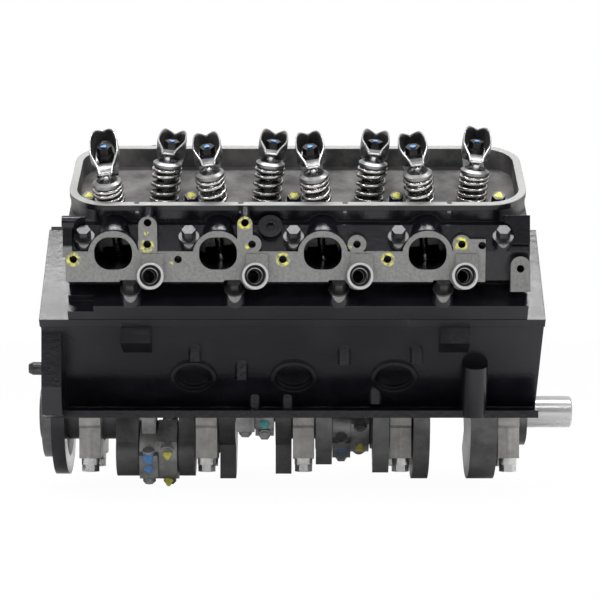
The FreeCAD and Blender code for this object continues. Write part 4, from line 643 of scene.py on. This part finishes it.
# From a rocker's pivot to its valve tip and to the foot of its ball
ROCKER_REACH = 0.042
ROCKER_DROP = 0.005
ROCKER_PAD = 0.014
BALL_FOOT = 0.0074


def rocker_frames():
    """Pivot, direction to the pushrod and upright of each rocker, read from its bolt, ball and valve."""
    bolts = [long_axis(points) for points in islands(NODES["rocker_bolts"])]
    valves = islands(NODES["intake_valves"]) + islands(NODES["exhaust_valves"])
    tips = [long_axis(points)[1] for points in valves]
    frames = []
    for ball in islands(NODES["rocker_pivot_balls"]):
        centre = Vector(ball.mean(axis=0))
        low, high = nearest_line(bolts, centre)
        upright = (high - low).normalized()
        foot = min((Vector(point) - low).dot(upright) for point in ball)
        pivot = low + upright * (foot + BALL_FOOT)
        tip = min(tips, key=lambda place: (place - pivot).length)
        reach = pivot - tip
        lift = ROCKER_DROP + reach.dot(upright)
        inboard = (reach - upright * reach.dot(upright)).normalized()
        pad = ROCKER_DROP + ROCKER_PAD
        span = math.hypot(ROCKER_REACH, pad)
        swing = math.acos((pad - lift) / span) - math.atan2(ROCKER_REACH, pad)
        along = inboard * math.cos(swing) + upright * math.sin(swing)
        up = upright * math.cos(swing) - inboard * math.sin(swing)
        frames.append((pivot, along, up))
    return frames


ROCKER = rocker_sheet()
for k, (pivot, along, up) in enumerate(rocker_frames()):
    mesh = ROCKER.copy()
    turn = Matrix((along, up.cross(along), up)).transposed().to_4x4()
    mesh.transform(Matrix.Translation(pivot) @ turn)
    rocker = bpy.data.objects.new("rocker_arm_%02d" % k, mesh)
    mesh.shade_smooth()
    bpy.context.scene.collection.objects.link(rocker)
    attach(rocker, "block_body")
    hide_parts("rocker_arms")


# Paint marks on bolts and rods
WAVY_EDGE = 0.16
WAVES = 3.1
WAVES_DIFFER = 40.0
BOLT_MARK = 0.0036
BOLT_MARK_THICKNESS = 0.0008
BOLT_MARK_NEARER = Vector((0.0, 0.003, 0.0))
HEAD_MARK = 0.0052
HEAD_MARK_THICKNESS = 0.001
MARKED_BOLTS_BEHIND = -0.235
ROD_MARK_THICKNESS = 0.0012
ROD_MARK_REACH = 0.006


def blob(name, place, facing, radius, thickness, material, body="block_body"):
    """A dab of marker paint, flattened on the face it was put on."""
    builder = bmesh.new()
    bmesh.ops.create_icosphere(builder, subdivisions=3, radius=1.0)
    turn = Vector(facing).to_track_quat("Z", "Y").to_matrix()
    for vertex in builder.verts:
        around = math.atan2(vertex.co.y, vertex.co.x)
        edge = 1.0 + WAVY_EDGE * math.sin(WAVES * around + WAVES_DIFFER * place[0])
        flat = Vector((vertex.co.x * radius * edge, vertex.co.y * radius * edge, vertex.co.z * thickness))
        vertex.co = Vector(place) + turn @ flat
    mesh = bpy.data.meshes.new(name)
    builder.to_mesh(mesh)
    builder.free()
    new_piece(name, mesh, material, body)


def bolt_tops(node):
    """Top and outward direction of each of a node's bolts on the right bank."""
    tops = []
    for points in islands(NODES[node]):
        low, high = long_axis(points)
        if high.y < 0:
            tops.append((high, (high - low).normalized()))
    return tops


for k, (top, up) in enumerate(bolt_tops("rocker_bolts")):
    blob("rocker_bolt_mark_%d" % k, top - BOLT_MARK_NEARER, up, BOLT_MARK, BOLT_MARK_THICKNESS, "blue")
for k, (top, up) in enumerate(bolt_tops("head_bolts")):
    if top.y > MARKED_BOLTS_BEHIND:
        blob("head_bolt_mark_%d" % k, top, up, HEAD_MARK, HEAD_MARK_THICKNESS, "yellow")


def rod_mark(name, cylinder, height, radius, material):
    """A dab on the side of a connecting rod that faces the camera, at a height above the crank's axis."""
    node = NODES["connecting_rod_%d" % cylinder]
    points = np.array([vertex.co for vertex in node.data.vertices])
    middle = 0.5 * (points[:, 0].min() + points[:, 0].max())
    near = points[np.abs(points[:, 2] - height) < ROD_MARK_REACH]
    place = Vector((middle, near[:, 1].min(), height))
    blob(name, place, (0.0, -1.0, 0.0), radius, ROD_MARK_THICKNESS, material, "rod_body_%d" % cylinder)


ROD_MARKS = [
    # cylinder, height above the crank's axis, radius and paint
    (8, -0.056, 0.0068, "blue"),
    (8, -0.070, 0.0055, "blue"),
    (7, -0.052, 0.0052, "yellow"),
    (7, -0.088, 0.0052, "yellow"),
    (5, -0.012, 0.0056, "teal"),
    (4, -0.050, 0.0060, "blue"),
    (3, -0.048, 0.0056, "yellow"),
]
for k, (cylinder, height, radius, paint) in enumerate(ROD_MARKS):
    rod_mark("rod_mark_%d" % k, cylinder, height, radius, paint)


# Camera, floor and light
FLOOR_GAP = 0.002
FLOOR_CORNERS = ((-8, -6), (9, -6), (9, 10), (-8, 10))
FLOOR_TONE = 0.9
FLOOR_SHOWN = 0.97
LIGHT_TARGET = (0.33, 0.0, 0.13)
SOFTBOXES = {
    # place, width, height and power
    "top_softbox": ((0.33, -0.25, 2.0), 1.9, 0.3, 42.0),
    "left_softbox": ((-1.6, -1.6, 1.1), 0.3, 1.2, 15.0),
    "right_softbox": ((2.3, -1.5, 1.1), 0.3, 1.2, 15.0),
    "front_softbox": ((0.33, -2.2, 1.75), 1.3, 0.25, 16.0),
}


def camera():
    """The photograph's camera."""
    data = bpy.data.cameras.new("photo_camera")
    data.sensor_width = SENSOR
    data.lens = CAMERA_FOCUS / PHOTO_WIDTH * SENSOR
    data.clip_end = 50.0
    eye = bpy.data.objects.new("photo_camera", data)
    eye.location = CAMERA_PLACE
    eye.rotation_euler = (math.radians(90.0), 0.0, 0.0)
    bpy.context.scene.collection.objects.link(eye)
    bpy.context.scene.camera = eye


def pale_material(name, tone, shown):
    """A pale matt surface that the camera sees nearly white, with only a trace of the object's shadow."""
    material = bpy.data.materials.new(name)
    material.use_nodes = True
    tree = material.node_tree
    shader = tree.nodes["Principled BSDF"]
    shader.inputs["Base Color"].default_value = (tone, tone, tone, 1.0)
    shader.inputs["Roughness"].default_value = 0.9
    glow = tree.nodes.new("ShaderNodeEmission")
    path = tree.nodes.new("ShaderNodeLightPath")
    share = tree.nodes.new("ShaderNodeMath")
    share.operation = "MULTIPLY"
    share.inputs[1].default_value = shown
    tree.links.new(path.outputs["Is Camera Ray"], share.inputs[0])
    mix = tree.nodes.new("ShaderNodeMixShader")
    tree.links.new(share.outputs[0], mix.inputs[0])
    tree.links.new(shader.outputs[0], mix.inputs[1])
    tree.links.new(glow.outputs[0], mix.inputs[2])
    tree.links.new(mix.outputs[0], tree.nodes["Material Output"].inputs["Surface"])
    return material


def floor():
    """A wide pale sheet just under the engine."""
    low = CAD_BOX[0][2] - FLOOR_GAP
    mesh = bpy.data.meshes.new("studio_floor")
    mesh.from_pydata([(x, y, low) for x, y in FLOOR_CORNERS], [], [(0, 1, 2, 3)])
    mesh.materials.append(pale_material("studio_floor_paint", FLOOR_TONE, FLOOR_SHOWN))
    sheet = bpy.data.objects.new("studio_floor", mesh)
    bpy.context.scene.collection.objects.link(sheet)


def world():
    """White for the camera. Light and reflections meet a room, white above and behind and dim elsewhere."""
    surroundings = bpy.data.worlds.new("studio")
    surroundings.use_nodes = True
    bpy.context.scene.world = surroundings
    tree = surroundings.node_tree
    background = tree.nodes["Background"]
    background.inputs["Color"].default_value = (1.0, 1.0, 1.0, 1.0)
    direction = tree.nodes.new("ShaderNodeTexCoord")
    facing = tree.nodes.new("ShaderNodeVectorMath")
    facing.operation = "DOT_PRODUCT"
    facing.inputs[1].default_value = ROOM_BRIGHT_SIDE
    tree.links.new(direction.outputs["Generated"], facing.inputs[0])
    room = tree.nodes.new("ShaderNodeMapRange")
    levels = (ROOM_TURNS_FROM, ROOM_TURNS_TO, ROOM_DIM, ROOM_BRIGHT)
    for key, amount in zip(("From Min", "From Max", "To Min", "To Max"), levels):
        room.inputs[key].default_value = amount
    tree.links.new(facing.outputs["Value"], room.inputs["Value"])
    path = tree.nodes.new("ShaderNodeLightPath")
    level = tree.nodes.new("ShaderNodeMath")
    level.operation = "MAXIMUM"
    tree.links.new(path.outputs["Is Camera Ray"], level.inputs[0])
    tree.links.new(room.outputs[0], level.inputs[1])
    tree.links.new(level.outputs[0], background.inputs["Strength"])


def lamp(name, place, width, height, power):
    """A rectangular softbox that faces the engine."""
    data = bpy.data.lights.new(name, "AREA")
    data.shape = "RECTANGLE"
    data.size = width
    data.size_y = height
    data.energy = power
    light = bpy.data.objects.new(name, data)
    light.location = place
    light.rotation_euler = (Vector(LIGHT_TARGET) - Vector(place)).to_track_quat("-Z", "Y").to_euler()
    bpy.context.scene.collection.objects.link(light)


camera()
floor()
world()
for name, (place, width, height, power) in SOFTBOXES.items():
    lamp(name, place, width, height, power)

bpy.context.scene.view_settings.view_transform = "Standard"
